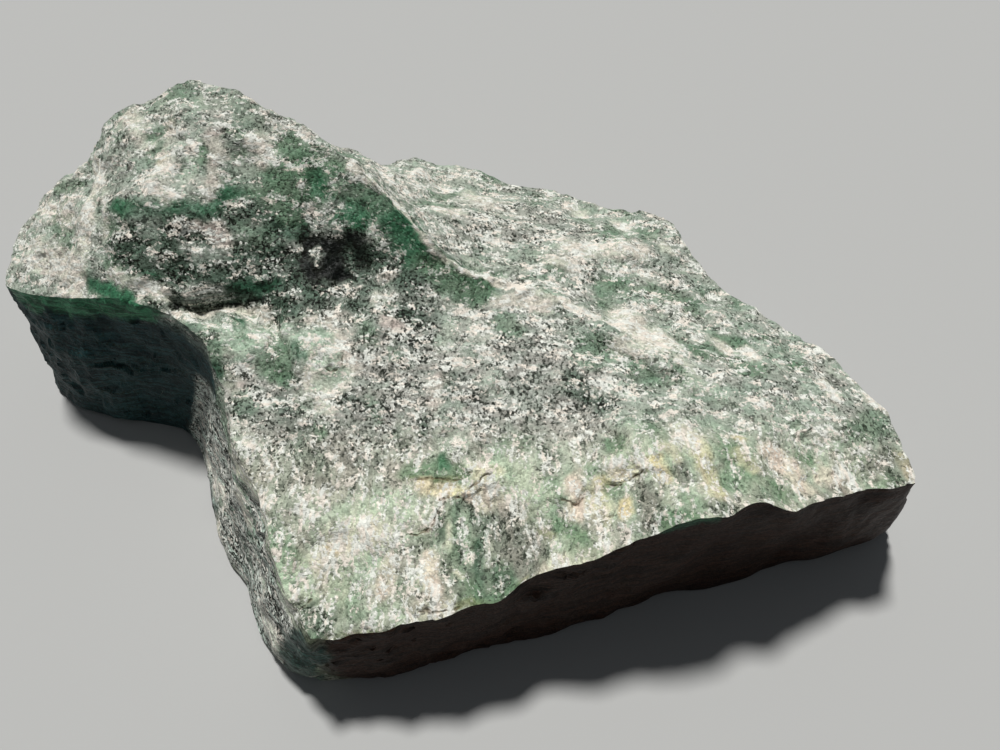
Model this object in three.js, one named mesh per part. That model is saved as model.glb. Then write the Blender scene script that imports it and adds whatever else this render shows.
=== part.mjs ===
// A rough boulder of green aventurine quartz: one stone, broken from its bed and left as found.
//
// A low slab with a nearly upright front face carries a tall crest at its left end. The crest's
// front is scooped out, and the scoop's rim runs on over the slab as a low ledge. The stone lies
// on its own flat underside. Millimetres, +Z up, +X along the stone's length, and the origin is
// under the middle of its bounding box.
//
// The skin is lofted between named lines that run along the stone, as a hull is lofted between
// its waterlines: the foot on the ground, the rim at the top of the walls, on top the sill, the
// hollow and the step of the crest's front, and the brow that everything rises to. Then corners
// are worn, flakes and scars are set on it, and the surface is roughened.

import * as THREE from 'three';
import { ImprovedNoise } from 'three/addons/math/ImprovedNoise.js';

// ---- driving dimensions -------------------------------------------------------------------

const LENGTH = 402;            // left tip to right corner, over all
const DEPTH = 247;             // front edge to back, over all
const HEIGHT = 130;            // ground to the top of the crest
const COLUMN_SPACING = 8.5;    // along the rim, between two columns of the skin
const WALL_ROWS = 8;           // foot to rim
const TOP_ROWS = 17;           // rim to brow
const TOE = 3;                 // how far the foot is turned under, and how high
const WEAR_PASSES = 1;         // how often the corners are rounded
const WEAR_SHARE = 0.5;        // how far each pass draws a soft point towards its neighbours
const NORMAL_PASSES = 5;       // how often the normals are evened out before the relief is set on
const FOOT_ROUGHNESS = 0.3;    // share of the relief at the foot
const CHIPPED_FROM = 0.3;      // upward part of the normal where plates and cuts begin
const CHIPPED_FULLY = 0.7;     // and where they have their whole height
const LOOK_AHEAD = 0.2;        // stations, to find which way the rim runs

// The broken surface: the width and height of its lumps, and where each noise is begun.
const RELIEF = [
  { size: 70, rise: 5, seed: 3.1 },      // broad
  { size: 28, rise: 3.5, seed: 7.7 },    // lumps
  { size: 13, rise: 2, seed: 12.9 },     // hackle
];

// Stations number the places round the stone. 0 to 19 run along the front from the left end to
// the right corner, 19 to 21 turn the right end, 21 to 40 come back behind (station 40 - k lies
// behind station k), and 40 to 44 turn the left end.
const RIGHT_CORNER = 19;
const RIGHT_REAR = 21;
const LEFT_REAR = 40;
const STATIONS = 44;

// ---- the lines of the stone: station, then x, y, z ------------------------------------------

// Where the walls meet the top.
const RIM = [
  [0, -148, 18, 79], [1, -130, 15, 83], [2, -109, 8, 82], [3, -92, -4, 74],   // front of the crest
  [4, -83, -22, 70], [5, -70, -55, 66], [6, -60, -77, 61], [7, -49, -104, 54],  // the slab's left
  [8, -39, -116, 49.5], [8.5, -31, -118, 48],                                   // its left corner
  [9, -8, -114, 55], [10, 22, -106, 57], [11, 39, -101, 61], [12, 65, -94, 68],
  [13, 79, -90, 72], [14, 91, -85, 77], [15, 122, -80, 77], [16, 135, -79, 72],
  [17, 150, -72, 68], [18, 174, -65, 62], [19, 186, -61, 61],                   // right corner
  [20, 186, -43, 64], [21, 183, -31, 64], [22, 165, -2, 66], [23, 138, 29, 68],
  [24, 121, 52, 69], [25, 110, 72, 70], [26, 103, 84, 70], [27, 82, 89, 70],    // right rear
  [28, 62, 99, 70], [29, 36, 106, 72], [30, 9, 109, 75], [31, -14, 112, 77],
  [33, -32, 109, 80], [35, -48, 115, 84], [36, -72, 119, 84], [38, -109, 121, 84],
  [39, -141, 114, 87], [40, -164, 93, 91], [41, -179, 86, 86], [41.5, -187, 80, 83],
  [42, -195, 62, 78], [43, -195, 36, 69], [43.5, -171, 25, 73], [44, -148, 18, 79],  // left tip
];

// Where the stone meets the ground.
const FOOT = [
  [0, -160, 9, 0], [1, -144, 5, 0], [2, -129, 2, 0], [3, -119, -4, 0], [4, -110, -22, 0],
  [5, -95, -51, 0], [6, -84, -72, 0], [7, -70, -100, 0], [8, -57, -114, 0], [8.5, -43, -120, 0],
  [9, -14, -114, 0], [10, 20, -105, 0], [11, 40, -100, 0], [12, 66, -92, 0], [14, 97, -81, 0],
  [15, 132, -72, 0], [17, 162, -62, 0], [18, 186, -56, 0], [19, 201, -50, 0],
  [20, 201, -34, 0], [21, 192, -18, 0], [22, 173, 9, 0], [24, 130, 60, 0], [25, 118, 82, 0],
  [26, 106, 93, 0], [28, 66, 105, 0], [30, 12, 113, 0], [33, -36, 112, 0], [36, -76, 114, 0],
  [38, -112, 116, 0], [40, -168, 97, 0], [41, -186, 82, 0], [42, -197, 56, 0],
  [43, -198, 29, 0], [43.5, -180, 15, 0], [44, -160, 9, 0],
];

// The crest's top, then the rim of its scoop, then the ledge over the slab.
const BROW = [
  [0, -152, 83, 105], [0.4, -148.5, 91.5, 118], [1, -131, 97, 125], [2, -108, 103, 131],
  [3, -86, 95, 131], [4, -71, 85, 127], [5, -45, 70, 119], [6, -34, 62, 115],
  [7, -18, 46, 110], [9, -2, 34, 102], [10, 10, 25, 93], [11, 24, 21, 85],
  [12, 47, 21, 82], [13, 58, 10, 82], [14, 79, -8, 80], [15, 100, -21, 78],
  [16, 117, -32, 76], [17, 132, -41, 74], [18, 146, -47, 71.5], [19, 158, -51, 68.3],
];

// The foot of the crest's front, a crevice at stations 3 to 5, then the foot of the ledge.
const SILL = [
  [0, -147, 23, 82], [1, -130, 21, 85], [2, -108, 13, 82], [3, -94, 11, 78], [4, -76, 11, 79],
  [5, -64, 6, 79], [6, -53, 9, 80], [7, -42, 12, 81], [9, -13, 13, 82], [11, 24, 16, 83],
  [12, 46, 14, 79], [13, 56, 3, 78.5], [15, 97, -29, 75], [17, 134, -45, 73.3],
];

// The deepest line of the crest's front: straight under the crest, hollow in the scoop.
const HOLLOW = [
  [0, -148, 30, 87], [1, -128, 29, 94], [2, -106, 24, 93], [3, -91, 26, 92], [4, -73, 30, 94],
  [5, -56, 32, 93], [6, -41, 31, 91], [7, -27, 28, 90], [9, -8, 22, 88], [10, 7, 19, 86],
  [11, 24, 18, 83.5], [12, 46.5, 16, 79.5], [13, 57, 5, 79], [15, 98, -27, 75.5],
  [17, 133.5, -44, 73.5],
];

// Where the crest's front eases to its crown; from station 5 on, close under the scoop's rim.
const STEP = [
  [0, -149, 48, 94], [1, -130, 48, 105], [2, -104, 41, 106.5], [3, -90, 48, 108],
  [4, -73, 61, 115], [5, -49, 62, 113.5], [6, -37, 55, 110], [7, -21, 40, 104],
  [9, -4, 29, 96], [10, 9, 22, 90], [11, 24, 20, 84.3], [12, 47, 18, 80.5], [13, 57.5, 7, 80],
  [15, 99, -24, 77], [17, 133, -43, 73.7],
];

// The full shoulders of the crest behind and at the left end, half way down from the brow.
const SHOULDER = [
  [33, -25, 77.5, 95], [34, -31, 81, 99.5], [35, -42, 86, 105], [36, -72, 107, 111],
  [38, -109, 118, 113], [39, -138, 111, 111], [40, -160, 88.5, 98], [42, -176, 70, 94],
  [43, -173, 58, 89], [44, -150, 50, 93],
];

// How far the walls swell outwards half way up.
const BELLY = [[0, 1], [3, -1], [6, 0], [8, 3], [12, 0], [19, 4], [24, 7], [30, 9], [38, 10],
  [42, 4], [43, 0], [44, 1]];

// What has come away from the top or still clings to it, as ovals on the plan: the middle, half
// the length and half the width, the turn in degrees, the rise (down where it is negative), and
// how wide the edge is as a share of the oval.
const PLATES = [
  { at: [-82, -1], half: [19, 9], turn: -6, rise: 3.5, edge: 0.35 },    // flake over the notch
  { at: [-49, -5], half: [15, 10], turn: -28, rise: 2.5, edge: 0.4 },   // flake beside it
  { at: [-118, 75], half: [30, 14], turn: 75, rise: 2.5, edge: 0.8 },   // swelling of the crown
  { at: [-45, -82], half: [13, 24], turn: -25, rise: 1.5, edge: 0.9 },  // crown of the corner
  { at: [28, -84], half: [26, 14], turn: 8, rise: -3.5, edge: 0.5 },    // striped scar in front
  { at: [76, -74], half: [18, 9], turn: 20, rise: -3, edge: 0.5 },      // scar under the ochre lip
  { at: [118, -70], half: [16, 8], turn: -12, rise: -2, edge: 0.6 },    // scar over the front notch
  { at: [60, -42], half: [22, 15], turn: 30, rise: -2.5, edge: 0.9 },   // hollow under the ledge
  { at: [92, 20], half: [26, 16], turn: -35, rise: -2.5, edge: 0.9 },   // dip behind the ledge
  { at: [40, 72], half: [30, 18], turn: -12, rise: 2.5, edge: 0.9 },    // swell of the back
];

// Narrow cuts: a line on the plan, half the width, and the depth.
const CUTS = [
  { line: [[-110, 10], [-94, 12], [-78, 11], [-66, 4]], half: 6, depth: 5 },  // the crevice
  { line: [[-66, 4], [-58, -14], [-44, -18]], half: 5, depth: 2 },            // round the flake
  { line: [[0, -67], [16, -68], [28, -62]], half: 5, depth: 2.5 },            // front crack
  { line: [[64, -68], [78, -66], [88, -59]], half: 5, depth: 2.5 },           // right crack
];

// ---- small helpers --------------------------------------------------------------------------

const { lerp, smoothstep } = THREE.MathUtils;

// The value of a line at any station, straight between the places that it lists.
function along(line, station) {
  const next = Math.max(1, line.findIndex((knot) => knot[0] >= station));
  const [a, b] = [line[next - 1], line[next]];
  const part = (station - a[0]) / (b[0] - a[0]);
  return a.slice(1).map((value, axis) => lerp(value, b[axis + 1], part));
}

const reaches = (line, station) => station >= line[0][0] && station <= line.at(-1)[0];
const pointAlong = (line, station) => new THREE.Vector3(...along(line, station));

// The station on the brow that a station of the rim is joined to.
function browStation(station) {
  if (station <= RIGHT_CORNER) return station;
  if (station < RIGHT_REAR) return RIGHT_CORNER;
  return station < LEFT_REAR ? LEFT_REAR - station : 0;
}

// ---- the net: columns round the stone, rows from the foot up to the brow ------------------------

// Columns between two stations: as many in front as behind, so both meet on the brow.
function columnsFrom(station) {
  const rimLength = (from) => pointAlong(RIM, from).distanceTo(pointAlong(RIM, from + 1));
  const brow = browStation(station + 0.5);
  const turnsAnEnd = brow === 0 || brow === RIGHT_CORNER;
  const behind = LEFT_REAR - 1 - station;
  const length = turnsAnEnd ? rimLength(station) : Math.max(rimLength(station), rimLength(behind));
  return Math.max(1, Math.round(length / COLUMN_SPACING));
}

function columnStations() {
  const stations = [];
  for (let station = 0; station < STATIONS; station += 1) {
    const count = columnsFrom(station);
    for (let i = 0; i < count; i += 1) stations.push(station + i / count);
  }
  return stations;
}

// One column of the wall, from the underside's edge to just under the rim. The foot is turned
// under by the toe, so the stone meets the ground on a rounded edge.
function wallColumn(station) {
  const foot = pointAlong(FOOT, station);
  const rim = pointAlong(RIM, station);
  const ahead = pointAlong(RIM, (station + LOOK_AHEAD) % STATIONS);
  const outward = ahead.sub(rim).setZ(0).normalize();
  outward.set(outward.y, -outward.x, 0);
  const swell = along(BELLY, station)[0];
  const toeHeight = TOE / rim.z;
  const column = [foot.clone().addScaledVector(outward, -TOE)];
  for (let row = 1; row < WALL_ROWS; row += 1) {
    const height = lerp(toeHeight, 1, (row - 1) / (WALL_ROWS - 1));
    const point = foot.clone().lerp(rim, height);
    column.push(point.addScaledVector(outward, swell * Math.sin(Math.PI * height)));
  }
  return column;
}

// One column of the top, from the rim to the brow in equal steps. In front it passes the sill,
// the hollow and the step, and behind the shoulder, as far as these lines reach.
function topColumn(station) {
  const lines = [SILL, HOLLOW, STEP, SHOULDER].filter((line) => reaches(line, station));
  const stops = [RIM, ...lines].map((line) => pointAlong(line, station));
  stops.push(pointAlong(BROW, browStation(station)));
  const path = new THREE.CurvePath();
  stops.slice(1).forEach((stop, leg) => path.add(new THREE.LineCurve3(stops[leg], stop)));
  return path.getSpacedPoints(TOP_ROWS);
}

// How firmly a place keeps its corner when the stone is worn: 1 holds, 0 gives way. The slab's
// left corner line, stations 4 to 8, is the softest edge.
function firmness(station, row) {
  if (row === 0) return 1;
  if (row === 1) return 0.8;
  if (row === WALL_ROWS) return station > 4 && station < 8 ? 0.6 : 0.95;
  return row === TOP_ROWS + WALL_ROWS ? 0.9 : 0;
}

// The net's points, each once, and its triangles. A column's last point is on the brow, where
// the column behind the stone ends too; its twin is found by their common station.
function netGeometry() {
  const points = [];
  const firm = [];
  const onBrow = new Map();
  const addPoint = (point, firmnessThere) => {
    points.push(...point.toArray());
    firm.push(firmnessThere);
    return firm.length - 1;
  };
  const browPoint = (point, station) => {
    const name = browStation(station).toFixed(4);
    if (!onBrow.has(name)) onBrow.set(name, addPoint(point, firmness(station, WALL_ROWS + TOP_ROWS)));
    return onBrow.get(name);
  };
  const columns = columnStations().map((station) => {
    const column = [...wallColumn(station), ...topColumn(station)];
    const brow = column.pop();
    const places = column.map((point, row) => addPoint(point, firmness(station, row)));
    return [...places, browPoint(brow, station)];
  });
  const triangles = [];
  columns.forEach((here, index) => {
    const next = columns[(index + 1) % columns.length];
    for (let row = 0; row < here.length - 1; row += 1) {
      triangles.push(here[row], next[row], next[row + 1]);
      if (here[row + 1] !== next[row + 1]) triangles.push(here[row], next[row + 1], here[row + 1]);
    }
  });
  const outline = columns.map(([foot]) => new THREE.Vector2(points[3 * foot], points[3 * foot + 1]));
  THREE.ShapeUtils.triangulateShape(outline, []).forEach(([a, b, c]) => {
    triangles.push(columns[a][0], columns[c][0], columns[b][0]);
  });
  const geometry = new THREE.BufferGeometry();
  geometry.setAttribute('position', new THREE.Float32BufferAttribute(points, 3));
  geometry.setAttribute('firm', new THREE.Float32BufferAttribute(firm, 1));
  geometry.setIndex(triangles);
  return geometry;
}

// ---- wear, and the broken surface -------------------------------------------------------------

function neighboursOf(geometry) {
  const index = geometry.getIndex().array;
  const neighbours = Array.from({ length: geometry.getAttribute('position').count }, () => new Set());
  for (let i = 0; i < index.length; i += 3) {
    const corners = index.slice(i, i + 3);
    corners.forEach((corner) => corners.forEach((other) => neighbours[corner].add(other)));
  }
  neighbours.forEach((set, corner) => set.delete(corner));
  return neighbours;
}

// Draws every point towards the middle of its neighbours, less where the stone is firm.
function wear(geometry, passes) {
  const position = geometry.getAttribute('position');
  const firm = geometry.getAttribute('firm');
  const neighbours = neighboursOf(geometry);
  const point = new THREE.Vector3();
  for (let pass = 0; pass < passes; pass += 1) {
    const worn = neighbours.map((set, corner) => {
      const middle = new THREE.Vector3();
      set.forEach((other) => middle.add(point.fromBufferAttribute(position, other)));
      middle.divideScalar(set.size);
      const share = WEAR_SHARE * (1 - firm.getX(corner));
      return new THREE.Vector3().fromBufferAttribute(position, corner).lerp(middle, share);
    });
    worn.forEach((place, corner) => position.setXYZ(corner, place.x, place.y, place.z));
  }
}

const perlin = new ImprovedNoise();

function noise(point, size, seed) {
  return perlin.noise(point.x / size + seed, point.y / size - seed, point.z / size + 0.5 * seed);
}

// Each point's normal, evened out with its neighbours', so that edges don't fold over.
function easedNormals(geometry, passes) {
  geometry.computeVertexNormals();
  const attribute = geometry.getAttribute('normal');
  const neighbours = neighboursOf(geometry);
  let normals = neighbours.map((_, i) => new THREE.Vector3().fromBufferAttribute(attribute, i));
  for (let pass = 0; pass < passes; pass += 1) {
    normals = neighbours.map((set, i) => {
      const sum = normals[i].clone();
      set.forEach((other) => sum.add(normals[other]));
      return sum.normalize();
    });
  }
  return normals;
}

function plateRise(point) {
  return PLATES.reduce((total, { at, half, turn, rise, edge }) => {
    const place = new THREE.Vector2(point.x - at[0], point.y - at[1]);
    place.rotateAround(new THREE.Vector2(), -THREE.MathUtils.degToRad(turn));
    const reach = Math.hypot(place.x / half[0], place.y / half[1]);
    return total + rise * (1 - smoothstep(reach, 1 - edge / 2, 1 + edge / 2));
  }, 0);
}

function distanceToLine(place, line) {
  const nearest = new THREE.Vector3();
  return Math.min(...line.slice(1).map((end, leg) => {
    const stretch = new THREE.Line3(new THREE.Vector3(...line[leg], 0), new THREE.Vector3(...end, 0));
    return stretch.closestPointToPoint(place, true, nearest).distanceTo(place);
  }));
}

function cutDepth(point) {
  const place = point.clone().setZ(0);
  return CUTS.reduce((total, { line, half, depth }) => (
    total + depth * (1 - smoothstep(distanceToLine(place, line), 0, half))
  ), 0);
}

// Height of the broken surface over the worn one.
function roughness(point) {
  return RELIEF.reduce((sum, { size, rise, seed }) => sum + rise * noise(point, size, seed), 0);
}

// The foot is roughened less, and only sideways, so that the underside stays flat.
function roughen(geometry) {
  const position = geometry.getAttribute('position');
  const normals = easedNormals(geometry, NORMAL_PASSES);
  const point = new THREE.Vector3();
  normals.forEach((normal, i) => {
    point.fromBufferAttribute(position, i);
    const onGround = point.z === 0;
    const share = onGround ? FOOT_ROUGHNESS : 1;
    point.addScaledVector(normal, share * roughness(point));
    position.setXYZ(i, point.x, point.y, onGround ? 0 : point.z);
  });
}

// Raises the plates and sinks the cuts, straight up and down, where the skin faces up.
function chip(geometry) {
  const position = geometry.getAttribute('position');
  const point = new THREE.Vector3();
  easedNormals(geometry, 1).forEach((normal, i) => {
    point.fromBufferAttribute(position, i);
    const share = smoothstep(normal.z, CHIPPED_FROM, CHIPPED_FULLY);
    if (share > 0) position.setZ(i, point.z + share * (plateRise(point) - cutDepth(point)));
  });
}

// Brings the finished stone to its stated size, with its box's middle over the origin.
function fitToSize(geometry) {
  geometry.computeBoundingBox();
  const size = geometry.boundingBox.getSize(new THREE.Vector3());
  const middle = geometry.boundingBox.getCenter(new THREE.Vector3());
  geometry.translate(-middle.x, -middle.y, 0);
  geometry.scale(LENGTH / size.x, DEPTH / size.y, HEIGHT / size.z);
}

function stoneGeometry() {
  const geometry = netGeometry();
  wear(geometry, WEAR_PASSES);
  chip(geometry);
  roughen(geometry);
  fitToSize(geometry);
  geometry.deleteAttribute('firm');
  geometry.computeVertexNormals();
  return geometry;
}

const aventurine = new THREE.MeshStandardMaterial({ color: 0x8fa391, roughness: 0.7, metalness: 0 });
const boulder = new THREE.Mesh(stoneGeometry(), aventurine);
boulder.name = 'boulder';

const part = new THREE.Group();
part.add(boulder);

export default part;
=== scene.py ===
# %% [markdown]
# # A rough boulder of green aventurine
#
# Aventurine is quartzite: sugar-sized grains of quartz grown into each other, with flakes of green
# mica between them. The stone is one piece, so there is one thing to make here: its skin. It is
# made in four steps. First the plain form is divided finely and its facets are eased. Then the
# kinds of rock are laid out on it in broad strokes. Next the broken surface is worked into the
# mesh, because chips and ledges have to cast real shadows. Last, the paint is stored on the mesh,
# and the material breaks it up into grains.

# %% Load the stone
import math

import bmesh
import bpy
import numpy as np
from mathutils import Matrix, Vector, noise
from mathutils.bvhtree import BVHTree


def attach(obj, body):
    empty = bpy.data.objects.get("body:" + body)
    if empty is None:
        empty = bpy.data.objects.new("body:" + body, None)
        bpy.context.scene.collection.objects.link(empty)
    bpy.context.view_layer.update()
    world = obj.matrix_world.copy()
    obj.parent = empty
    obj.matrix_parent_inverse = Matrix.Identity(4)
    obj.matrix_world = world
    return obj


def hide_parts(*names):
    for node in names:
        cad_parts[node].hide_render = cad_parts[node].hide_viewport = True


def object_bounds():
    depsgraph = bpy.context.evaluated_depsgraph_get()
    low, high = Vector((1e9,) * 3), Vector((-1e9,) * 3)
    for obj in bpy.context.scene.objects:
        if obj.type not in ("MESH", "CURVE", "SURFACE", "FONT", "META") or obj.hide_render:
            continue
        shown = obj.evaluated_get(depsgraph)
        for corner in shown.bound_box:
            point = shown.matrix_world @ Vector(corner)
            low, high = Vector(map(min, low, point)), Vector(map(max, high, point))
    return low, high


MM = 0.001

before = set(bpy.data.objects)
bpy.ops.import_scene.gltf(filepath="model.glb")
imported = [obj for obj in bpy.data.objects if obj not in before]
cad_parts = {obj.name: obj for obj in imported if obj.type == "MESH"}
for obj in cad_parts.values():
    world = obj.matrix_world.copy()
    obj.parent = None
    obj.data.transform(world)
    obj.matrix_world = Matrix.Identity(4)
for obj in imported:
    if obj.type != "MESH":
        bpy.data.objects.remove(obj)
cad_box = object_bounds()
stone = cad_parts["boulder"]
plain_size = [round(side / MM) for side in cad_box[1] - cad_box[0]]
print("plain stone:", len(stone.data.polygons), "triangles,", plain_size, "mm")

# %% [markdown]
# ## The camera, the floor and the light
#
# The camera stands close over the stone and looks down on it, so that the top fills the view and
# the front wall is a narrow dark band. Its place is in millimetres in the stone's own frame. The
# key light comes from behind, a little from the left, and from high up: the top is bright, every
# chip has a small shadow, and the walls towards the camera lie in shade. It is as far away as the
# sun but a good deal wider, which softens the rims of the shadows as a large studio lamp does. A
# faint sky fills the shade, and in its place the camera sees a plain grey backdrop.

# %% Camera
CAMERA_PLACE = Vector((27.2, -214.8, 320)) * MM
CAMERA_DOWN = math.radians(52)
FOCAL_PIXELS = 780
IMAGE_WIDTH = 1000
SENSOR_WIDTH = 36.0
NEAREST_SEEN = 10 * MM

camera_data = bpy.data.cameras.new("camera")
camera_data.sensor_width = SENSOR_WIDTH
camera_data.lens = SENSOR_WIDTH * FOCAL_PIXELS / IMAGE_WIDTH
camera_data.clip_start = NEAREST_SEEN
camera = bpy.data.objects.new("camera", camera_data)
camera.location = CAMERA_PLACE
camera.rotation_euler = (math.pi / 2 - CAMERA_DOWN, 0, 0)
bpy.context.scene.collection.objects.link(camera)
bpy.context.scene.camera = camera
print(f"camera: {camera_data.lens:.1f} mm lens, {math.degrees(CAMERA_DOWN):.0f} degrees down")

# %% Floor
FLOOR_SIZE = 30.0
FLOOR_COLOUR = (0.46, 0.46, 0.45)
FLOOR_ROUGHNESS = 0.9

paint_on_floor = bpy.data.materials.new("floor paint")
paint_on_floor.use_nodes = True
floor_shader = paint_on_floor.node_tree.nodes["Principled BSDF"]
floor_shader.inputs["Base Color"].default_value = (*FLOOR_COLOUR, 1)
floor_shader.inputs["Roughness"].default_value = FLOOR_ROUGHNESS

floor_mesh = bmesh.new()
bmesh.ops.create_grid(floor_mesh, x_segments=1, y_segments=1, size=FLOOR_SIZE / 2)
floor_data = bpy.data.meshes.new("floor")
floor_mesh.to_mesh(floor_data)
floor_mesh.free()
floor_data.materials.append(paint_on_floor)
floor = bpy.data.objects.new("floor", floor_data)
bpy.context.scene.collection.objects.link(floor)
print("floor:", FLOOR_SIZE, "m wide")

# %% Light and tone
KEY_DIRECTION = Vector((0.110, -0.354, -1.0)).normalized()
KEY_WIDTH = math.radians(8)
KEY_STRENGTH = 3.38
KEY_COLOUR = (1.0, 0.995, 0.98)
SKY_COLOUR = (0.86, 0.93, 1.0)
SKY_STRENGTH = 0.10
BACKDROP_COLOUR = (0.50, 0.50, 0.49)

key_data = bpy.data.lights.new("key", "SUN")
key_data.angle = KEY_WIDTH
key_data.energy = KEY_STRENGTH
key_data.color = KEY_COLOUR
key = bpy.data.objects.new("key", key_data)
key.rotation_euler = KEY_DIRECTION.to_track_quat("-Z", "Y").to_euler()
bpy.context.scene.collection.objects.link(key)

world = bpy.data.worlds.new("studio")
world.use_nodes = True
sky = world.node_tree.nodes["Background"]
sky.inputs["Color"].default_value = (*SKY_COLOUR, 1)
sky.inputs["Strength"].default_value = SKY_STRENGTH
backdrop = world.node_tree.nodes.new("ShaderNodeBackground")
backdrop.inputs["Color"].default_value = (*BACKDROP_COLOUR, 1)
seen = world.node_tree.nodes.new("ShaderNodeLightPath")
either = world.node_tree.nodes.new("ShaderNodeMixShader")
world.node_tree.links.new(seen.outputs["Is Camera Ray"], either.inputs[0])
world.node_tree.links.new(sky.outputs[0], either.inputs[1])
world.node_tree.links.new(backdrop.outputs[0], either.inputs[2])
world.node_tree.links.new(either.outputs[0], world.node_tree.nodes["World Output"].inputs["Surface"])
bpy.context.scene.world = world
bpy.context.scene.view_settings.view_transform = "Standard"
print(f"key light: {math.degrees(math.asin(-KEY_DIRECTION.z)):.0f} degrees high")

# %% [markdown]
# ## A fine skin
#
# The plain stone has facets as wide as a fingertip. A copy of it is welded, and every edge is cut
# in four, which keeps the form and gives points to work with. A few rounds of smoothing take the
# facets away. Plain smoothing would also draw in corners and tips, so each round is a step in and
# a slightly longer step out. A fresh break in quartzite has a crisp edge. So the points on sharp
# edges, such as the front one, get a single round, and after that they are eased along their own
# edge only. The underside stays flat: its points aren't touched. Edges that are still long at the
# end are cut once more.

# %% Weld, divide and ease
WELD = 1e-6
CUTS = 3
SHARP_ANGLE = math.radians(40)
STEP_IN = 0.5
STEP_OUT = 0.52
EASY_ROUNDS = 12
SHARP_ROUNDS = 1
GROUND = 0.3 * MM
LONGEST_EDGE = 3.0 * MM


def eased(skin, rounds, where, edges):
    """Smooths these points along these edges, without drawing the form in."""
    skin.verts.index_update()
    ends = np.array([[vert.index for vert in edge.verts] for edge in edges])
    moving = np.array([vert.index for vert in where])
    places = np.array([vert.co[:] for vert in skin.verts])
    count = np.maximum(1, np.bincount(ends.ravel(), minlength=len(places)))[:, None]
    for _ in range(rounds):
        for step in (STEP_IN, -STEP_OUT):
            sums = np.zeros_like(places)
            np.add.at(sums, ends[:, 0], places[ends[:, 1]])
            np.add.at(sums, ends[:, 1], places[ends[:, 0]])
            places[moving] += step * (sums / count - places)[moving]
    for vert, place in zip(skin.verts, places):
        vert.co = place


def divided(skin, edges, cuts=1):
    """Cuts these edges, and keeps every face a triangle."""
    bmesh.ops.subdivide_edges(skin, edges=edges, cuts=cuts, use_grid_fill=True)
    bmesh.ops.triangulate(skin, faces=[face for face in skin.faces if len(face.verts) > 3])


def is_raised(edge):
    return edge.verts[0].co.z > GROUND


skin = bmesh.new()
skin.from_mesh(stone.data)
bmesh.ops.remove_doubles(skin, verts=skin.verts, dist=WELD)
for edge in skin.edges:
    edge.smooth = edge.calc_face_angle(0) < SHARP_ANGLE
divided(skin, skin.edges, CUTS)
raised = [vert for vert in skin.verts if vert.co.z > GROUND]
blunt = [vert for vert in raised if all(edge.smooth for edge in vert.link_edges)]
sharp_edges = [edge for edge in skin.edges if not edge.smooth and is_raised(edge)]
on_sharp = {vert for edge in sharp_edges for vert in edge.verts}
eased(skin, SHARP_ROUNDS, raised, skin.edges)
eased(skin, EASY_ROUNDS, blunt, skin.edges)
eased(skin, EASY_ROUNDS, [vert for vert in raised if vert in on_sharp], sharp_edges)
divided(skin, [edge for edge in skin.edges if edge.calc_length() > LONGEST_EDGE and is_raised(edge)])
print("fine skin:", len(skin.faces), "triangles,", len(raised) - len(blunt), "points on sharp edges")

# %% [markdown]
# ## Where things are on the stone
#
# Ledges, cracks and patches of colour are laid out on the plan, in millimetres, as short lines.
# A line is dropped straight down on the stone, so that it lies on whatever carries it. On the
# walls, where there is nothing to drop on, its points carry a height too. A point just off the
# edge takes the height of the nearest place.

# %% Lines laid on the stone
PLAN_TOP = 0.2


def on_stone(tree, line):
    """The points of a line in millimetres, each with the height of the stone there."""
    placed = []
    for point in line:
        if len(point) == 2:
            above = Vector((point[0] * MM, point[1] * MM, PLAN_TOP))
            hit = tree.ray_cast(above, Vector((0, 0, -1)))[0]
            if hit is None:
                hit = tree.find_nearest(above)[0]
            point = (*point, hit.z / MM)
        placed.append(point)
    return np.array(placed, float)


def along_line(points, line):
    """For each point: its distance to the line, the side it lies on, and how far along it is."""
    nearest = np.full(len(points), np.inf)
    side = np.zeros(len(points))
    run = np.zeros(len(points))
    walked = 0.0
    for start, end in zip(line[:-1], line[1:]):
        leg = end - start
        length = np.linalg.norm(leg)
        offset = points - start
        share = np.clip(offset @ leg / length**2, 0, 1)
        distance = np.linalg.norm(offset - share[:, None] * leg, axis=1)
        closer = distance < nearest
        nearest[closer] = distance[closer]
        side[closer] = np.sign(leg[0] * offset[closer, 1] - leg[1] * offset[closer, 0])
        run[closer] = walked + share[closer] * length
        walked += length
    return nearest, side, run, walked


def eased_step(value, low, high):
    """A smooth step from 0 at low to 1 at high."""
    share = np.clip((value - low) / (high - low), 0, 1)
    return share * share * (3 - 2 * share)


carrier = BVHTree.FromBMesh(skin)
print("the stone's top:", on_stone(carrier, [(0, 0)])[0, 2].round(1), "mm high in its middle")

# %% [markdown]
# ## Ledges and cracks
#
# Where a flake has come away it leaves a ledge: the surface steps down over little more than a
# millimetre, and the higher side fades back into the slope. A crack is a narrow groove. They could
# be a bump in the material, but a bump casts no shadow, so they are cut into the mesh. Both need
# finer points than the rest of the skin: the edges near them are cut once or twice more, and those
# at a crack a third time.

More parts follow.
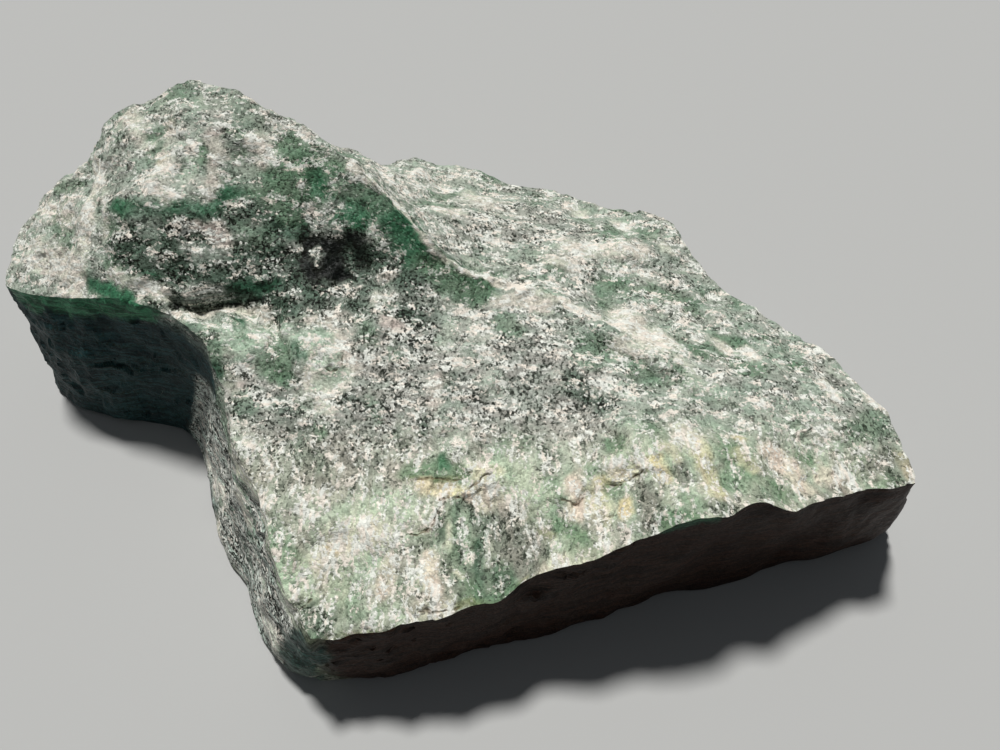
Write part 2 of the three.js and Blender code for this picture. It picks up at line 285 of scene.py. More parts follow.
# %% Where the ledges and cracks run
# A ledge: its rise, how far it reaches back, and the line, with the higher side on the left.
LEDGES = [
    (2.0, 14, [(-66, -3), (-72, -10), (-81, -13), (-92, -9)]),          # front of the flake
    (1.2, 9, [(-37, -17), (-41, -21), (-47, -20)]),                     # second flake
    (2.0, 12, [(27, -61), (12, -64), (1, -66)]),                        # the yellow flake's top
    (1.5, 7, [(18, -68), (10, -72), (2, -73)]),                         # and its lower edge
    (1.6, 12, [(4, -78), (2, -83), (-8, -88)]),                         # left of the striped scar
    (1.2, 12, [(84, -64), (78, -67), (66, -70)]),                       # the ochre lip
    (1.5, 10, [(99, -23), (84, -10), (69, 1), (52, 10), (41, 19)]),     # the long ledge
    (1.2, 8, [(41, 18), (36, 17), (23, 18), (12, 23)]),                 # end of the scoop's rim
    (1.2, 10, [(60, -49), (52, -52), (44, -50)]),
    (1.4, 10, [(110, 20), (98, 30), (82, 38)]),
    (1.2, 9, [(140, -22), (128, -12), (114, -6)]),
    (1.2, 9, [(-8, -42), (-20, -50), (-34, -50)]),
    (1.0, 8, [(30, 34), (18, 44), (4, 46)]),
    (1.2, 8, [(150, -40), (138, -48), (124, -47)]),
]
# A crack: half its width at half its depth, its depth, and the line.
CRACKS = [
    (0.35, 0.7, [(-6, -65), (2, -63.5), (12, -64)]),
    (0.35, 0.8, [(24, -63), (18, -66.5), (14.5, -70), (13, -72.5), (8, -72), (3, -73)]),
    (0.35, 0.7, [(-6, -87), (-2, -85.5), (2, -83.5), (3, -80), (4, -76)]),
    (0.35, 0.7, [(67, -71), (72, -71), (76, -69), (80, -68)]),
    (0.35, 0.6, [(60, -82), (64, -83.5), (67, -83)]),
    (0.35, 0.6, [(50, -76), (55, -78), (57, -76)]),
    (0.35, 0.7, [(-36, -14), (-36.5, -18), (-39, -20.5), (-41, -21), (-45, -20)]),
    (0.35, 0.6, [(-1, -111), (7, -111), (13, -110)]),
    (0.35, 0.6, [(-44, -111), (-40, -107)]),
]
FINE_REACH = 3.0
FINEST_REACH = 1.6
CRACK_REACH = 1.2


def near_lines(skin, tree, lines, reach):
    """The edges that lie within reach of the lines."""
    points = np.array([vert.co[:] for vert in skin.verts]) / MM
    near = np.zeros(len(points), bool)
    for line in lines:
        near |= along_line(points, on_stone(tree, line))[0] < reach
    return [edge for edge in skin.edges if near[edge.verts[0].index] or near[edge.verts[1].index]]


ledge_lines = [line for *_, line in LEDGES]
crack_lines = [line for *_, line in CRACKS]
both = ledge_lines + crack_lines
for lines, reach in ((both, FINE_REACH), (both, FINEST_REACH), (crack_lines, CRACK_REACH)):
    skin.verts.index_update()
    divided(skin, near_lines(skin, carrier, lines, reach))
print("with fine bands:", len(skin.faces), "triangles")

# %% [markdown]
# ## Noise
#
# Nothing on a broken stone is straight or even. Noise bends every border and lifts the surface in
# lumps. It is worked out once for each point, in millimetres, from fixed seeds, so that the stone
# comes out the same every time.

# %% Points and noise
# How far a face must look up to begin to count as top, and to count fully.
FACES_UP = (0.1, 0.5)
NOISE_SHIFT = (17.3, -9.1, 5.7)
OCTAVE_FADE = 1.0
OCTAVE_STEP = 2.0
WARP_OCTAVES = 2

skin.verts.index_update()
skin.normal_update()
points = np.array([vert.co[:] for vert in skin.verts]) / MM
normals = np.array([vert.normal[:] for vert in skin.verts])
facing_up = eased_step(normals[:, 2], *FACES_UP)


def noise_at(points, size, seed, octaves=3):
    """Fractal noise at each point, about -1 to 1, with lumps of that size in millimetres."""
    shift = Vector([seed * step for step in NOISE_SHIFT])
    places = (Vector(point) / size + shift for point in points)
    return np.array([noise.fractal(place, OCTAVE_FADE, OCTAVE_STEP, octaves) for place in places])


def warp_at(points, size, reach, seed):
    """Offsets that bend straight borders, in millimetres."""
    return reach * np.stack([noise_at(points, size, seed + axis, WARP_OCTAVES) for axis in range(3)], 1)


print("points:", len(points), "of which", round(100 * facing_up.mean()), "in 100 face up")

# %% [markdown]
# ## Painting the stone
#
# Each kind of rock in the stone is a ground colour, a share of dark grains, a share of white
# grains, and a polish from 0, crumbly, to 1, glassy. The kinds lie in patches with ragged borders,
# which no single noise gives, so the paint is laid on in order, broad kinds first and spots last,
# as strokes along short lines. A stroke is its kind, half its width in millimetres, the share that
# it covers of what lies under it, and its line. Under the strokes lie spots of noise, which are
# all that the hidden sides have. What the mesh carries is only this broad layout. The grains
# themselves come from the material.

# %% Kinds of rock
def srgb(red, green, blue):
    """Linear colour from the usual 0 to 255 values."""
    channels = [value / 255 for value in (red, green, blue)]
    return [c / 12.92 if c <= 0.04045 else ((c + 0.055) / 1.055) ** 2.4 for c in channels]


# kind: ground colour, share of dark grains, share of white grains, polish
KINDS = {
    "speckled": (srgb(154, 164, 151), 0.25, 0.36, 0.2),
    "pepper": (srgb(162, 163, 155), 0.34, 0.43, 0.1),
    "green": (srgb(98, 126, 100), 0.26, 0.23, 0.3),
    "teal": (srgb(118, 139, 118), 0.28, 0.28, 0.2),
    "emerald": (srgb(58, 104, 76), 0.22, 0.15, 0.6),
    "deep emerald": (srgb(42, 78, 58), 0.3, 0.07, 0.5),
    "dark pepper": (srgb(84, 102, 88), 0.42, 0.27, 0.2),
    # Black is the mica of the scoop, and also a painted shadow in the crevice under the crest.
    "black": (srgb(12, 18, 14), 0.7, 0.03, 0.3),
    "cream": (srgb(210, 207, 192), 0.08, 0.58, 0.2),
    "pale": (srgb(176, 183, 170), 0.21, 0.52, 0.2),
    "mint": (srgb(172, 187, 168), 0.14, 0.40, 0.4),
    "knobs": (srgb(146, 152, 142), 0.22, 0.60, 0.2),
    "pink knobs": (srgb(168, 156, 148), 0.22, 0.58, 0.2),
    "pink": (srgb(210, 196, 186), 0.16, 0.44, 0.2),
    "straw": (srgb(204, 197, 172), 0.07, 0.34, 0.2),
    "ochre": (srgb(214, 194, 156), 0.1, 0.28, 0.2),
    "olive": (srgb(112, 112, 70), 0.14, 0.10, 0.4),
    "grey": (srgb(120, 122, 116), 0.40, 0.26, 0.1),
    "foliated": (srgb(178, 186, 178), 0.40, 0.44, 0.2),
    "rim green": (srgb(58, 112, 82), 0.16, 0.04, 0.5),
    "striped": (srgb(106, 120, 108), 0.42, 0.24, 0.2),
    # The next three are the rock's own teal, green and brown made darker as painted shade: for the left
    # corner's tip, the left end and the front wall.
    "painted shade teal": (srgb(44, 74, 68), 0.3, 0.10, 0.3),
    "painted shade green": (srgb(32, 58, 60), 0.30, 0.06, 0.3),
    "brown": (srgb(44, 27, 18), 0.30, 0.03, 0.2),
}

# %% The crest's crown
# The crest is pale and cream on top, with green between its knobs.
CROWN = [
    ("green", 5, 0.45, [(-125, 86), (-109, 87), (-88, 84), (-76, 75)]),
    ("speckled", 6, 0.6, [(-143, 71), (-137, 59), (-137, 45)]),
    ("cream", 4, 0.9, [(-136, 86), (-129, 77), (-124, 70)]),
    ("cream", 4, 0.9, [(-113, 64), (-114, 54), (-115, 46)]),
    ("ochre", 2, 0.4, [(-114, 76), (-114, 67), (-116, 59)]),
    ("pale", 7, 0.9, [(-110, 66), (-107, 57), (-107, 45), (-114, 42)]),
    ("cream", 3, 0.8, [(-118, 46), (-111, 41)]),
    ("pink", 4, 0.7, [(-94, 69), (-92, 59), (-96, 48)]),
    ("cream", 4.5, 0.95, [(-77, 68), (-70, 66)]),
    ("pink", 3, 0.8, [(-74, 59), (-81, 54)]),
    ("green", 2.5, 0.95, [(-123, 72), (-119, 74)]),
    ("green", 3, 0.9, [(-99, 64), (-98, 60)]),
    ("green", 3, 0.8, [(-84, 62), (-83, 60)]),
    ("mint", 4, 0.7, [(-104, 60), (-104, 55)]),
    ("green", 2.5, 0.7, [(-87, 71), (-81, 69)]),
    ("pale", 3, 0.6, [(-88, 58), (-84, 56)]),
    ("pale", 4.5, 0.9, [(-142, 70), (-135, 65)]),
    ("pale", 9, 0.35, [(-124, 79), (-110, 80), (-93, 79)]),
    ("pale", 6, 0.5, [(-86, 57), (-81, 54)]),
    ("pale", 5, 0.9, [(-68, 70), (-63, 67)]),
    ("pale", 6, 0.45, [(-173, 61), (-160, 50)]),
    ("pale", 4, 0.8, [(-85, 56), (-79, 54)]),
    ("pale", 5, 0.7, [(-171, 58), (-158, 51)]),
]

# %% The crest's green shoulder
# Its right shoulder and a band along the scoop's top are green, and emerald where they are glassy.
SHOULDER = [
    ("green", 7, 0.9, [(-62, 66), (-52, 58), (-42, 56)]),
    ("green", 8, 0.9, [(-80, 52), (-70, 50), (-58, 54), (-46, 50)]),
    ("knobs", 1.8, 0.8, [(-57, 51), (-54, 50)]),
    ("emerald", 7, 0.9, [(-48, 51), (-36, 48), (-22, 41)]),
    ("emerald", 4, 0.95, [(-132, 40), (-117, 36), (-105, 36), (-93, 41), (-84, 49)]),
    ("green", 5, 0.8, [(-136, 34), (-126, 26), (-135, 22)]),
    ("deep emerald", 4.5, 0.95, [(-73, 33), (-64, 38), (-56, 38)]),
    ("deep emerald", 3, 0.9, [(-80, 27), (-68, 29)]),
    ("green", 6, 0.8, [(-73, 41), (-61, 43), (-55, 46)]),
    ("emerald", 4, 0.9, [(-42, 42), (-33, 38)]),
    ("speckled", 3, 0.7, [(-121, 33), (-116, 33)]),
    ("green", 4.5, 0.7, [(-43, 52), (-36, 49)]),
    ("green", 3.6, 0.7, [(-29, 48), (-24, 45)]),
    ("teal", 3.6, 0.7, [(-29, 47), (-22, 45)]),
    ("mint", 3, 0.5, [(-43, 52), (-36, 49)]),
    ("speckled", 3, 0.6, [(-78, 34), (-74, 32)]),
]

# %% The scoop in the crest
# The scoop in its front is dark and full of black mica, with pale knobs standing out of it.
SCOOP = [
    ("dark pepper", 10, 0.9, [(-126, 26), (-112, 28), (-96, 30), (-78, 37)]),
    ("dark pepper", 12, 0.95, [(-118, 19), (-99, 20), (-79, 24), (-61, 26)]),
    ("dark pepper", 7, 0.95, [(-106, 13), (-86, 14), (-66, 15), (-49, 12)]),
    ("pink knobs", 2.5, 0.75, [(-106, 32), (-97, 33)]),
    ("pink knobs", 3.8, 0.85, [(-92, 33), (-88, 28)]),
    ("knobs", 2, 0.8, [(-121, 32), (-114, 32)]),
    ("knobs", 2, 0.7, [(-118, 24), (-115, 21)]),
    ("knobs", 2.5, 0.6, [(-104, 26), (-99, 26)]),
    ("knobs", 3.6, 0.85, [(-99, 24), (-90, 24)]),
    ("cream", 3, 0.9, [(-135, 19), (-124, 14), (-113, 13)]),
    ("cream", 2.5, 0.7, [(-122, 10), (-113, 11)]),
    ("knobs", 3.6, 0.9, [(-103, 12), (-88, 14)]),
    ("deep emerald", 3.5, 0.9, [(-86, 15), (-76, 16), (-67, 18)]),
    ("knobs", 2.2, 0.8, [(-78, 22), (-76, 22)]),
    ("knobs", 2.2, 0.8, [(-67, 22), (-63, 21)]),
    ("knobs", 2, 0.7, [(-59, 14), (-56, 12)]),
    ("black", 7, 0.98, [(-52, 24), (-45, 23), (-41, 21)]),
    ("black", 6, 0.98, [(-55, 31), (-45, 34), (-36, 32)]),
    ("black", 4.5, 0.9, [(-39, 35), (-31, 31), (-27, 29)]),
    ("knobs", 3, 0.9, [(-52, 29), (-49, 26)]),
    ("knobs", 2.2, 0.85, [(-61, 31), (-59, 31)]),
    ("knobs", 2.8, 0.9, [(-51, 38), (-41, 37)]),
    ("knobs", 2, 0.75, [(-54, 45), (-54, 41)]),
    ("knobs", 2.2, 0.75, [(-45, 45), (-41, 46)]),
    ("mint", 4.5, 0.6, [(-25, 36), (-22, 33)]),
    ("dark pepper", 8, 0.9, [(-36, 26), (-27, 25), (-18, 26)]),
    ("dark pepper", 5, 0.85, [(-36, 20), (-27, 20)]),
    ("black", 5, 0.95, [(-44, 26), (-42, 23)]),
    ("black", 3.5, 0.7, [(-34, 31), (-30, 27)]),
    ("pink knobs", 2.6, 0.7, [(-22, 20), (-18, 21)]),
    ("knobs", 3, 0.8, [(-28, 20), (-24, 20)]),
    ("speckled", 3.5, 0.8, [(-82, 33), (-76, 36)]),
    ("emerald", 3.5, 0.85, [(-37, 42), (-30, 38)]),
    ("dark pepper", 2.6, 0.9, [(-120, 9), (-115, 8)]),
]

# %% Under the scoop's rim
# Below the rim runs a glassy emerald band, which fades into dark speckles on the slab.
UNDER_RIM = [
    ("emerald", 6, 0.95, [(-25, 43), (-15, 38), (-6, 30), (1, 23)]),
    ("emerald", 8, 0.9, [(-16, 37), (-10, 30), (-5, 25)]),
    ("emerald", 4, 0.95, [(3, 23), (10, 20), (22, 18)]),
    ("green", 6, 0.85, [(-2, 22), (6, 16), (20, 15)]),
    ("knobs", 3, 0.7, [(-41, 16), (-36, 18)]),
    ("cream", 3, 0.7, [(-25, 10), (-20, 7)]),
    ("dark pepper", 6, 0.8, [(-40, 7), (-22, 2), (-6, 5)]),
    ("dark pepper", 5, 0.8, [(-14, 13), (-5, 7)]),
    ("dark pepper", 6, 0.85, [(-12, 17), (-10, 9), (-5, 4)]),
    ("dark pepper", 5, 0.95, [(-68, 13), (-62, 1)]),
    ("cream", 3, 0.6, [(-24, 12), (-22, 6)]),
    ("knobs", 3, 0.7, [(-44, 12), (-38, 11)]),
    ("pink knobs", 3, 0.7, [(-44, 5), (-35, 2)]),
    ("dark pepper", 4, 0.8, [(-35, 9), (-30, 11)]),
    ("teal", 6, 0.6, [(-29, 48), (-22, 43)]),
    ("speckled", 6, 0.7, [(-85, 56), (-79, 55)]),
    ("speckled", 6, 0.45, [(-121, 34), (-116, 33)]),
    ("teal", 5, 0.6, [(-78, 34), (-73, 32)]),
]

# %% The left facet
# The left facet is pale, with a cream ridge between it and the scoop.
LEFT_FACET = [
    ("pale", 20, 0.5, [(-185, 50), (-166, 46), (-158, 27)]),
    ("cream", 3.6, 0.95, [(-152, 71), (-148, 58), (-149, 45), (-150, 33), (-151, 23), (-153, 16)]),
    ("cream", 2, 0.6, [(-142, 52), (-138, 41), (-139, 33)]),
    ("cream", 3.5, 0.9, [(-180, 65), (-170, 54)]),
    ("cream", 6, 0.9, [(-181, 43), (-168, 35), (-154, 25)]),
    ("cream", 3, 0.8, [(-162, 19, 75), (-153, 19)]),
    ("teal", 5, 0.8, [(-170, 56), (-164, 45), (-160, 38)]),
    ("green", 2.5, 0.6, [(-171, 67), (-162, 68)]),
    ("speckled", 5, 0.8, [(-190, 34), (-178, 27)]),
    ("rim green", 4, 0.95, [(-145, 18), (-137, 14), (-129, 9, 84)]),
    ("green", 3, 0.5, [(-165, 63), (-164, 50)]),
    ("pale", 3, 0.8, [(-181, 43), (-173, 36)]),
    ("cream", 5, 0.5, [(-177, 40), (-173, 36)]),
    ("cream", 5, 0.5, [(-166, 57), (-162, 50)]),
]

# %% The slab
# The slab is black and white pepper, with pale, pink and green places in it.
SLAB = [
    ("pepper", 26, 0.9, [(-80, -31), (-66, -41), (-50, -49), (-34, -61)]),
    ("pepper", 26, 0.9, [(-28, -32), (-14, -16), (4, -33), (-4, -49)]),
    ("pepper", 22, 0.9, [(19, -26), (35, -17), (52, -26), (43, -41)]),
    ("pale", 5, 0.7, [(-74, -45), (-68, -52)]),
    ("pale", 5, 0.7, [(-66, -67, 59), (-61, -74)]),
    ("pink", 3, 0.6, [(-82, -23), (-78, -26)]),
    ("green", 2.6, 0.8, [(-45, -43), (-42, -47)]),
    ("teal", 4, 0.8, [(-29, 0), (-25, -7)]),
    ("teal", 3, 0.8, [(-16, -11), (-14, -14)]),
    ("pale", 3, 0.7, [(-40, 1), (-34, -2)]),
    ("pink", 3, 0.7, [(-19, 1), (-16, -2)]),
    ("pale", 5, 0.9, [(18, -1), (18, -10), (12, -17)]),
    ("mint", 3.6, 0.6, [(7, -1), (4, -9)]),
    ("green", 3, 0.6, [(10, 10), (16, 10)]),
    ("teal", 4.5, 0.85, [(28, 1), (35, -3)]),
    ("dark pepper", 3.5, 0.8, [(-12, 4), (-7, 1)]),
    ("pale", 6.5, 0.8, [(6, -38), (11, -42), (7, -48)]),
    ("pink", 3.5, 0.65, [(3, -26), (0, -34)]),
    ("pale", 4.5, 0.7, [(-7, -53), (0, -57)]),
    ("dark pepper", 2.4, 0.9, [(-3, -41), (-3, -47)]),
    ("dark pepper", 4, 0.5, [(-38, -27), (-34, -32)]),
    ("dark pepper", 4, 0.5, [(-50, -53), (-41, -61)]),
    ("dark pepper", 3.5, 0.6, [(6, -23), (9, -31)]),
    ("cream", 3, 0.7, [(-39, -21), (-36, -24)]),
    ("pale", 4, 0.8, [(-45, -34), (-41, -32)]),
    ("teal", 4, 0.6, [(-76, -32), (-73, -36)]),
    ("teal", 4, 0.6, [(-25, -33), (-22, -37)]),
    ("pale", 3, 0.7, [(-65, -34), (-61, -37)]),
    ("dark pepper", 3, 0.6, [(-12, -44), (-10, -50)]),
    ("dark pepper", 3, 0.6, [(-75, -37), (-69, -40)]),
    ("pale", 3.4, 0.8, [(50, -25), (54, -28)]),
    ("grey", 4.5, 0.7, [(-30, -55), (-23, -59)]),
    ("grey", 4.5, 0.6, [(-52, -66), (-41, -68)]),
    ("pale", 5, 0.9, [(20, -28), (26, -29)]),
    ("grey", 3.5, 0.7, [(-12, -10), (-6, -14)]),
    ("grey", 3.5, 0.6, [(-29, -68), (-24, -72)]),
    ("dark pepper", 4, 0.6, [(-62, 5), (-56, 0)]),
    ("pale", 4, 0.8, [(-75, -60, 53), (-70, -64)]),
    ("grey", 4, 0.5, [(-58, -34), (-55, -38)]),
    ("teal", 3.6, 0.6, [(-84, -21), (-80, -24)]),
    ("teal", 3.6, 0.7, [(59, -14), (64, -19)]),
    ("cream", 4, 0.85, [(-47, -21), (-44, -25)]),
    ("cream", 4, 0.8, [(-36, -18), (-33, -19)]),
    ("dark pepper", 3.6, 0.7, [(-71, 9), (-67, 6)]),
    ("dark pepper", 3, 0.6, [(-21, 7), (-16, 5)]),
    ("pale", 3.6, 0.8, [(-12, -43), (-9, -45)]),
    ("teal", 3.6, 0.6, [(-69, -19), (-64, -22)]),
    ("grey", 3.6, 0.6, [(12, -27), (17, -30)]),
    ("grey", 3.4, 0.5, [(45, -1), (50, -4)]),
    ("dark pepper", 3.6, 0.7, [(-34, 22), (-28, 20)]),
    ("speckled", 6, 0.45, [(-74, -60, 57), (-70, -64, 55)]),
    ("cream", 5, 0.45, [(-74, -60, 55), (-70, -63, 57)]),
]

# %% The flakes over the notch
# Two mint flakes hang over the notch, with cream edges and emerald hearts. Above the first, a black
# line is a painted shadow in the crevice under the crest.
FLAKES = [
    # A painted shadow in the crevice under the crest's foot.
    ("black", 1.6, 0.9, [(-110, 9), (-99, 10), (-83, 11), (-72, 12)]),
    ("cream", 1.8, 0.9, [(-108, 6), (-98, 8), (-83, 10), (-75, 9)]),
    ("mint", 4.5, 0.75, [(-93, -2), (-83, -4), (-73, -5)]),
    ("emerald", 2.6, 0.95, [(-82, 3), (-80, -2)]),
    ("teal", 4.5, 0.8, [(-92, -8), (-89, -11), (-87, -14)]),
    ("cream", 3.2, 0.75, [(-82, -13), (-74, -12), (-69, -7)]),
    ("cream", 2.4, 0.8, [(-72, 8), (-68, 2), (-68, -8)]),
    ("mint", 6, 0.8, [(-58, -6), (-50, -6), (-44, -9), (-42, -16)]),
    ("cream", 2, 0.8, [(-62, 1), (-50, 2), (-42, 0), (-38, -9)]),
    ("green", 4.6, 0.85, [(-63, -11), (-60, -17), (-59, -24)]),
    ("green", 4, 0.7, [(-67, -17), (-64, -23)]),
    ("ochre", 1.6, 0.95, [(-50, -13), (-48, -16)]),
    ("mint", 5, 0.55, [(-51, -32), (-48, -27), (-44, -23)]),
    ("pink", 4.5, 0.75, [(-38, -7), (-35, -17), (-37, -24)]),
    ("cream", 2.6, 0.8, [(-44, -34), (-40, -37)]),
    ("emerald", 2.6, 0.8, [(-55, -12), (-52, -15)]),
    ("deep emerald", 2, 0.9, [(-89, -16), (-86, -21)]),
    ("teal", 3.5, 0.7, [(-92, -15, 68), (-92, -19)]),
    ("cream", 3.2, 0.7, [(-40, -22), (-38, -19)]),
    ("cream", 5, 0.9, [(-48, -21), (-44, -26)]),
    ("deep emerald", 2.8, 0.6, [(-102, -2, 80), (-97, -5)]),
    ("dark pepper", 5, 0.75, [(-65, 7), (-58, 2)]),
    ("mint", 6, 0.6, [(-46, -14), (-41, -19)]),
    ("dark pepper", 6, 0.55, [(-58, -34), (-50, -44)]),
    ("teal", 4, 0.6, [(-80, -10), (-74, -13)]),
    ("mint", 7, 0.85, [(-45, -11), (-40, -17), (-40, -23)]),
    ("mint", 5, 0.8, [(-84, -7), (-76, -5), (-66, -5)]),
    ("green", 2.6, 0.7, [(-79, -7), (-76, -10)]),
    ("mint", 5, 0.9, [(-78, -13), (-73, -15)]),
    ("teal", 4, 0.7, [(-89, -10), (-87, -12)]),
]

# %% The rim and what lies behind it
# The rim runs on over the slab as a cream ledge. Behind it the stone is pale, with green hollows.
RIM_AND_BACK = [
    ("cream", 1.7, 0.95, [(-36, 57), (-25, 48), (-16, 47), (-6, 32), (3, 24), (11, 21), (22, 22)]),
    ("cream", 2.6, 0.9, [(22, 22), (35, 19), (46, 13), (59, 10), (70, 3), (85, -3)]),
    ("cream", 3.5, 0.8, [(26, 11), (35, 13)]),
    ("pale", 7, 0.9, [(-25, 80), (-17, 67), (-8, 99)]),
    ("pale", 5, 0.8, [(1, 105), (13, 100)]),
    ("cream", 5.5, 0.8, [(12, 84), (24, 72)]),
    ("pale", 6, 0.7, [(-4, 54), (7, 41)]),
    ("pepper", 14, 0.5, [(14, 53), (36, 66), (55, 60)]),
    ("cream", 3.6, 0.85, [(63, 85), (67, 80)]),
    ("cream", 3, 0.85, [(82, 71), (86, 69)]),
    ("cream", 3, 0.85, [(103, 54), (105, 53)]),
    ("cream", 5.5, 0.85, [(57, 48), (72, 46), (91, 49)]),
    ("pale", 5.5, 0.9, [(79, 38), (90, 37)]),
    ("green", 6, 0.75, [(73, 28), (80, 26), (77, 18)]),
    ("green", 6, 0.65, [(93, 27), (104, 23), (111, 16)]),
    ("cream", 7, 0.95, [(80, 8), (88, 2), (94, -8)]),
    ("pale", 5.5, 0.85, [(108, 6), (112, -1)]),
    ("cream", 3.6, 0.85, [(100, -18), (104, -24)]),
    ("teal", 5, 0.9, [(62, -7), (72, -12)]),
    ("teal", 5.5, 0.8, [(82, -18), (91, -23), (100, -26)]),
    ("green", 3, 0.5, [(78, -22), (87, -26)]),
    ("dark pepper", 4.5, 0.85, [(56, -26), (62, -33), (67, -36)]),
    ("mint", 4.5, 0.8, [(105, -29), (112, -33)]),
    ("pale", 3.6, 0.8, [(67, -29), (82, -35)]),
    ("green", 3.4, 0.85, [(119, -1), (128, -5)]),
    ("green", 2.6, 0.85, [(106, -11), (110, -14)]),
    ("green", 4.4, 0.75, [(122, -16), (130, -20)]),
    ("green", 3, 0.8, [(146, -15), (150, -16)]),
    ("cream", 3, 0.9, [(129, -8), (131, -12)]),
    ("cream", 3, 0.7, [(118, -4), (120, -8)]),
    ("cream", 3.6, 0.9, [(159, -24), (160, -29)]),
    ("cream", 3, 0.8, [(176, -27), (180, -34)]),
    ("teal", 5.5, 0.75, [(166, -46), (177, -40)]),
    ("green", 3, 0.9, [(140, -56), (144, -58)]),
    ("dark pepper", 3.4, 0.7, [(174, -60), (176, -64)]),
    ("ochre", 2.6, 0.45, [(182, -55), (183, -63)]),
    ("pale", 10, 0.35, [(136, -43), (151, -45), (157, -56)]),
    ("grey", 4, 0.65, [(167, -62), (176, -55)]),
    ("grey", 3.6, 0.7, [(165, -22), (169, -23)]),
    ("cream", 4.5, 0.9, [(1, 59), (8, 64)]),
    ("cream", 4.5, 0.9, [(40, 11), (46, 8)]),
    ("cream", 4, 0.8, [(51, 36), (59, 36)]),
    ("grey", 4, 0.5, [(180, -58), (182, -62)]),
    ("speckled", 7, 0.7, [(118, -50), (119, -62)]),
    ("speckled", 5, 0.7, [(137, -72), (143, -72)]),
    ("pale", 4, 0.8, [(136, -52), (141, -53)]),
    ("teal", 3.4, 0.7, [(115, -60), (117, -64)]),
    ("pale", 3.6, 0.8, [(88, -18), (91, -21)]),
    ("grey", 3.4, 0.5, [(137, -72), (142, -74)]),
    ("green", 3, 0.5, [(115, -60), (118, -62)]),
    ("speckled", 6, 0.6, [(80, 18), (86, 14)]),
    ("cream", 6, 0.7, [(79, -10), (84, -11)]),
]

# %% The front, right of the scar
# In front the stone is stained: ochre and straw between the green and the pink.
FRONT_RIGHT = [
    ("green", 5.5, 0.6, [(112, -59), (115, -66), (111, -73)]),
    ("green", 4, 0.55, [(119, -73), (127, -76)]),
    ("ochre", 4, 0.45, [(100, -59), (101, -69), (103, -78)]),
    ("cream", 5, 0.7, [(95, -51), (97, -58)]),
    ("ochre", 1.8, 0.5, [(116, -53), (117, -54)]),
    ("pink", 4.6, 0.8, [(128, -60), (135, -64), (138, -69)]),
    ("pink", 4.6, 0.7, [(150, -65), (155, -70)]),
    ("green", 3.5, 0.8, [(69, -55), (72, -57)]),
    ("dark pepper", 2, 0.6, [(85, -42), (84, -53)]),
    ("mint", 6, 0.7, [(85, -62), (90, -69)]),
    ("mint", 4, 0.7, [(70, -62), (78, -64)]),
    ("ochre", 2.4, 0.5, [(64, -70), (72, -68), (82, -66)]),
    ("straw", 4, 0.6, [(63, -74), (64, -84)]),
    ("cream", 3, 0.7, [(69, -67), (78, -67)]),
    ("ochre", 2.6, 0.75, [(72, -79), (72, -84)]),
    ("grey", 4.5, 0.85, [(79, -75), (80, -80), (80, -87)]),
    ("grey", 2.8, 0.8, [(92, -68), (93, -74)]),
    ("green", 2.8, 0.85, [(83, -90), (93, -91)]),
    ("grey", 2.8, 0.7, [(100, -85), (108, -84)]),
    ("cream", 4, 0.75, [(42, -101), (50, -100), (63, -97)]),
    ("green", 3.2, 0.85, [(49, -85), (56, -92)]),
    ("olive", 2, 0.5, [(43, -86), (45, -88)]),
    ("teal", 3.2, 0.8, [(45, -66), (46, -76), (45, -80)]),
    ("dark pepper", 3.4, 0.7, [(44, -55), (47, -58)]),
    ("pink", 3.8, 0.75, [(54, -70), (55, -81)]),
    ("pale", 3, 0.7, [(50, -53), (53, -56)]),
    ("pale", 3.6, 0.5, [(39, -56), (42, -58)]),
    ("ochre", 2.5, 0.55, [(84, -66), (86, -72)]),
    ("straw", 3.5, 0.5, [(116, -61), (119, -66)]),
    ("straw", 3, 0.4, [(87, -60), (90, -64)]),
    ("green", 2.5, 0.6, [(67, -73), (70, -72)]),
    ("teal", 3, 0.6, [(93, -82), (96, -85)]),
    ("grey", 3, 0.7, [(147, -74), (157, -69)]),
    ("dark pepper", 3, 0.45, [(178, -50), (181, -55)]),
    ("grey", 2.5, 0.5, [(42, -61), (47, -64)]),
    ("grey", 3, 0.5, [(60, -86), (64, -84)]),
    ("teal", 3.5, 0.55, [(82, -52), (86, -56)]),
    ("teal", 3.5, 0.6, [(53, -95), (59, -97)]),
    ("speckled", 6, 0.6, [(119, -78), (123, -80)]),
    ("dark pepper", 4, 0.5, [(103, -88), (106, -86)]),
    ("dark pepper", 4, 0.45, [(120, -79), (123, -78)]),
]

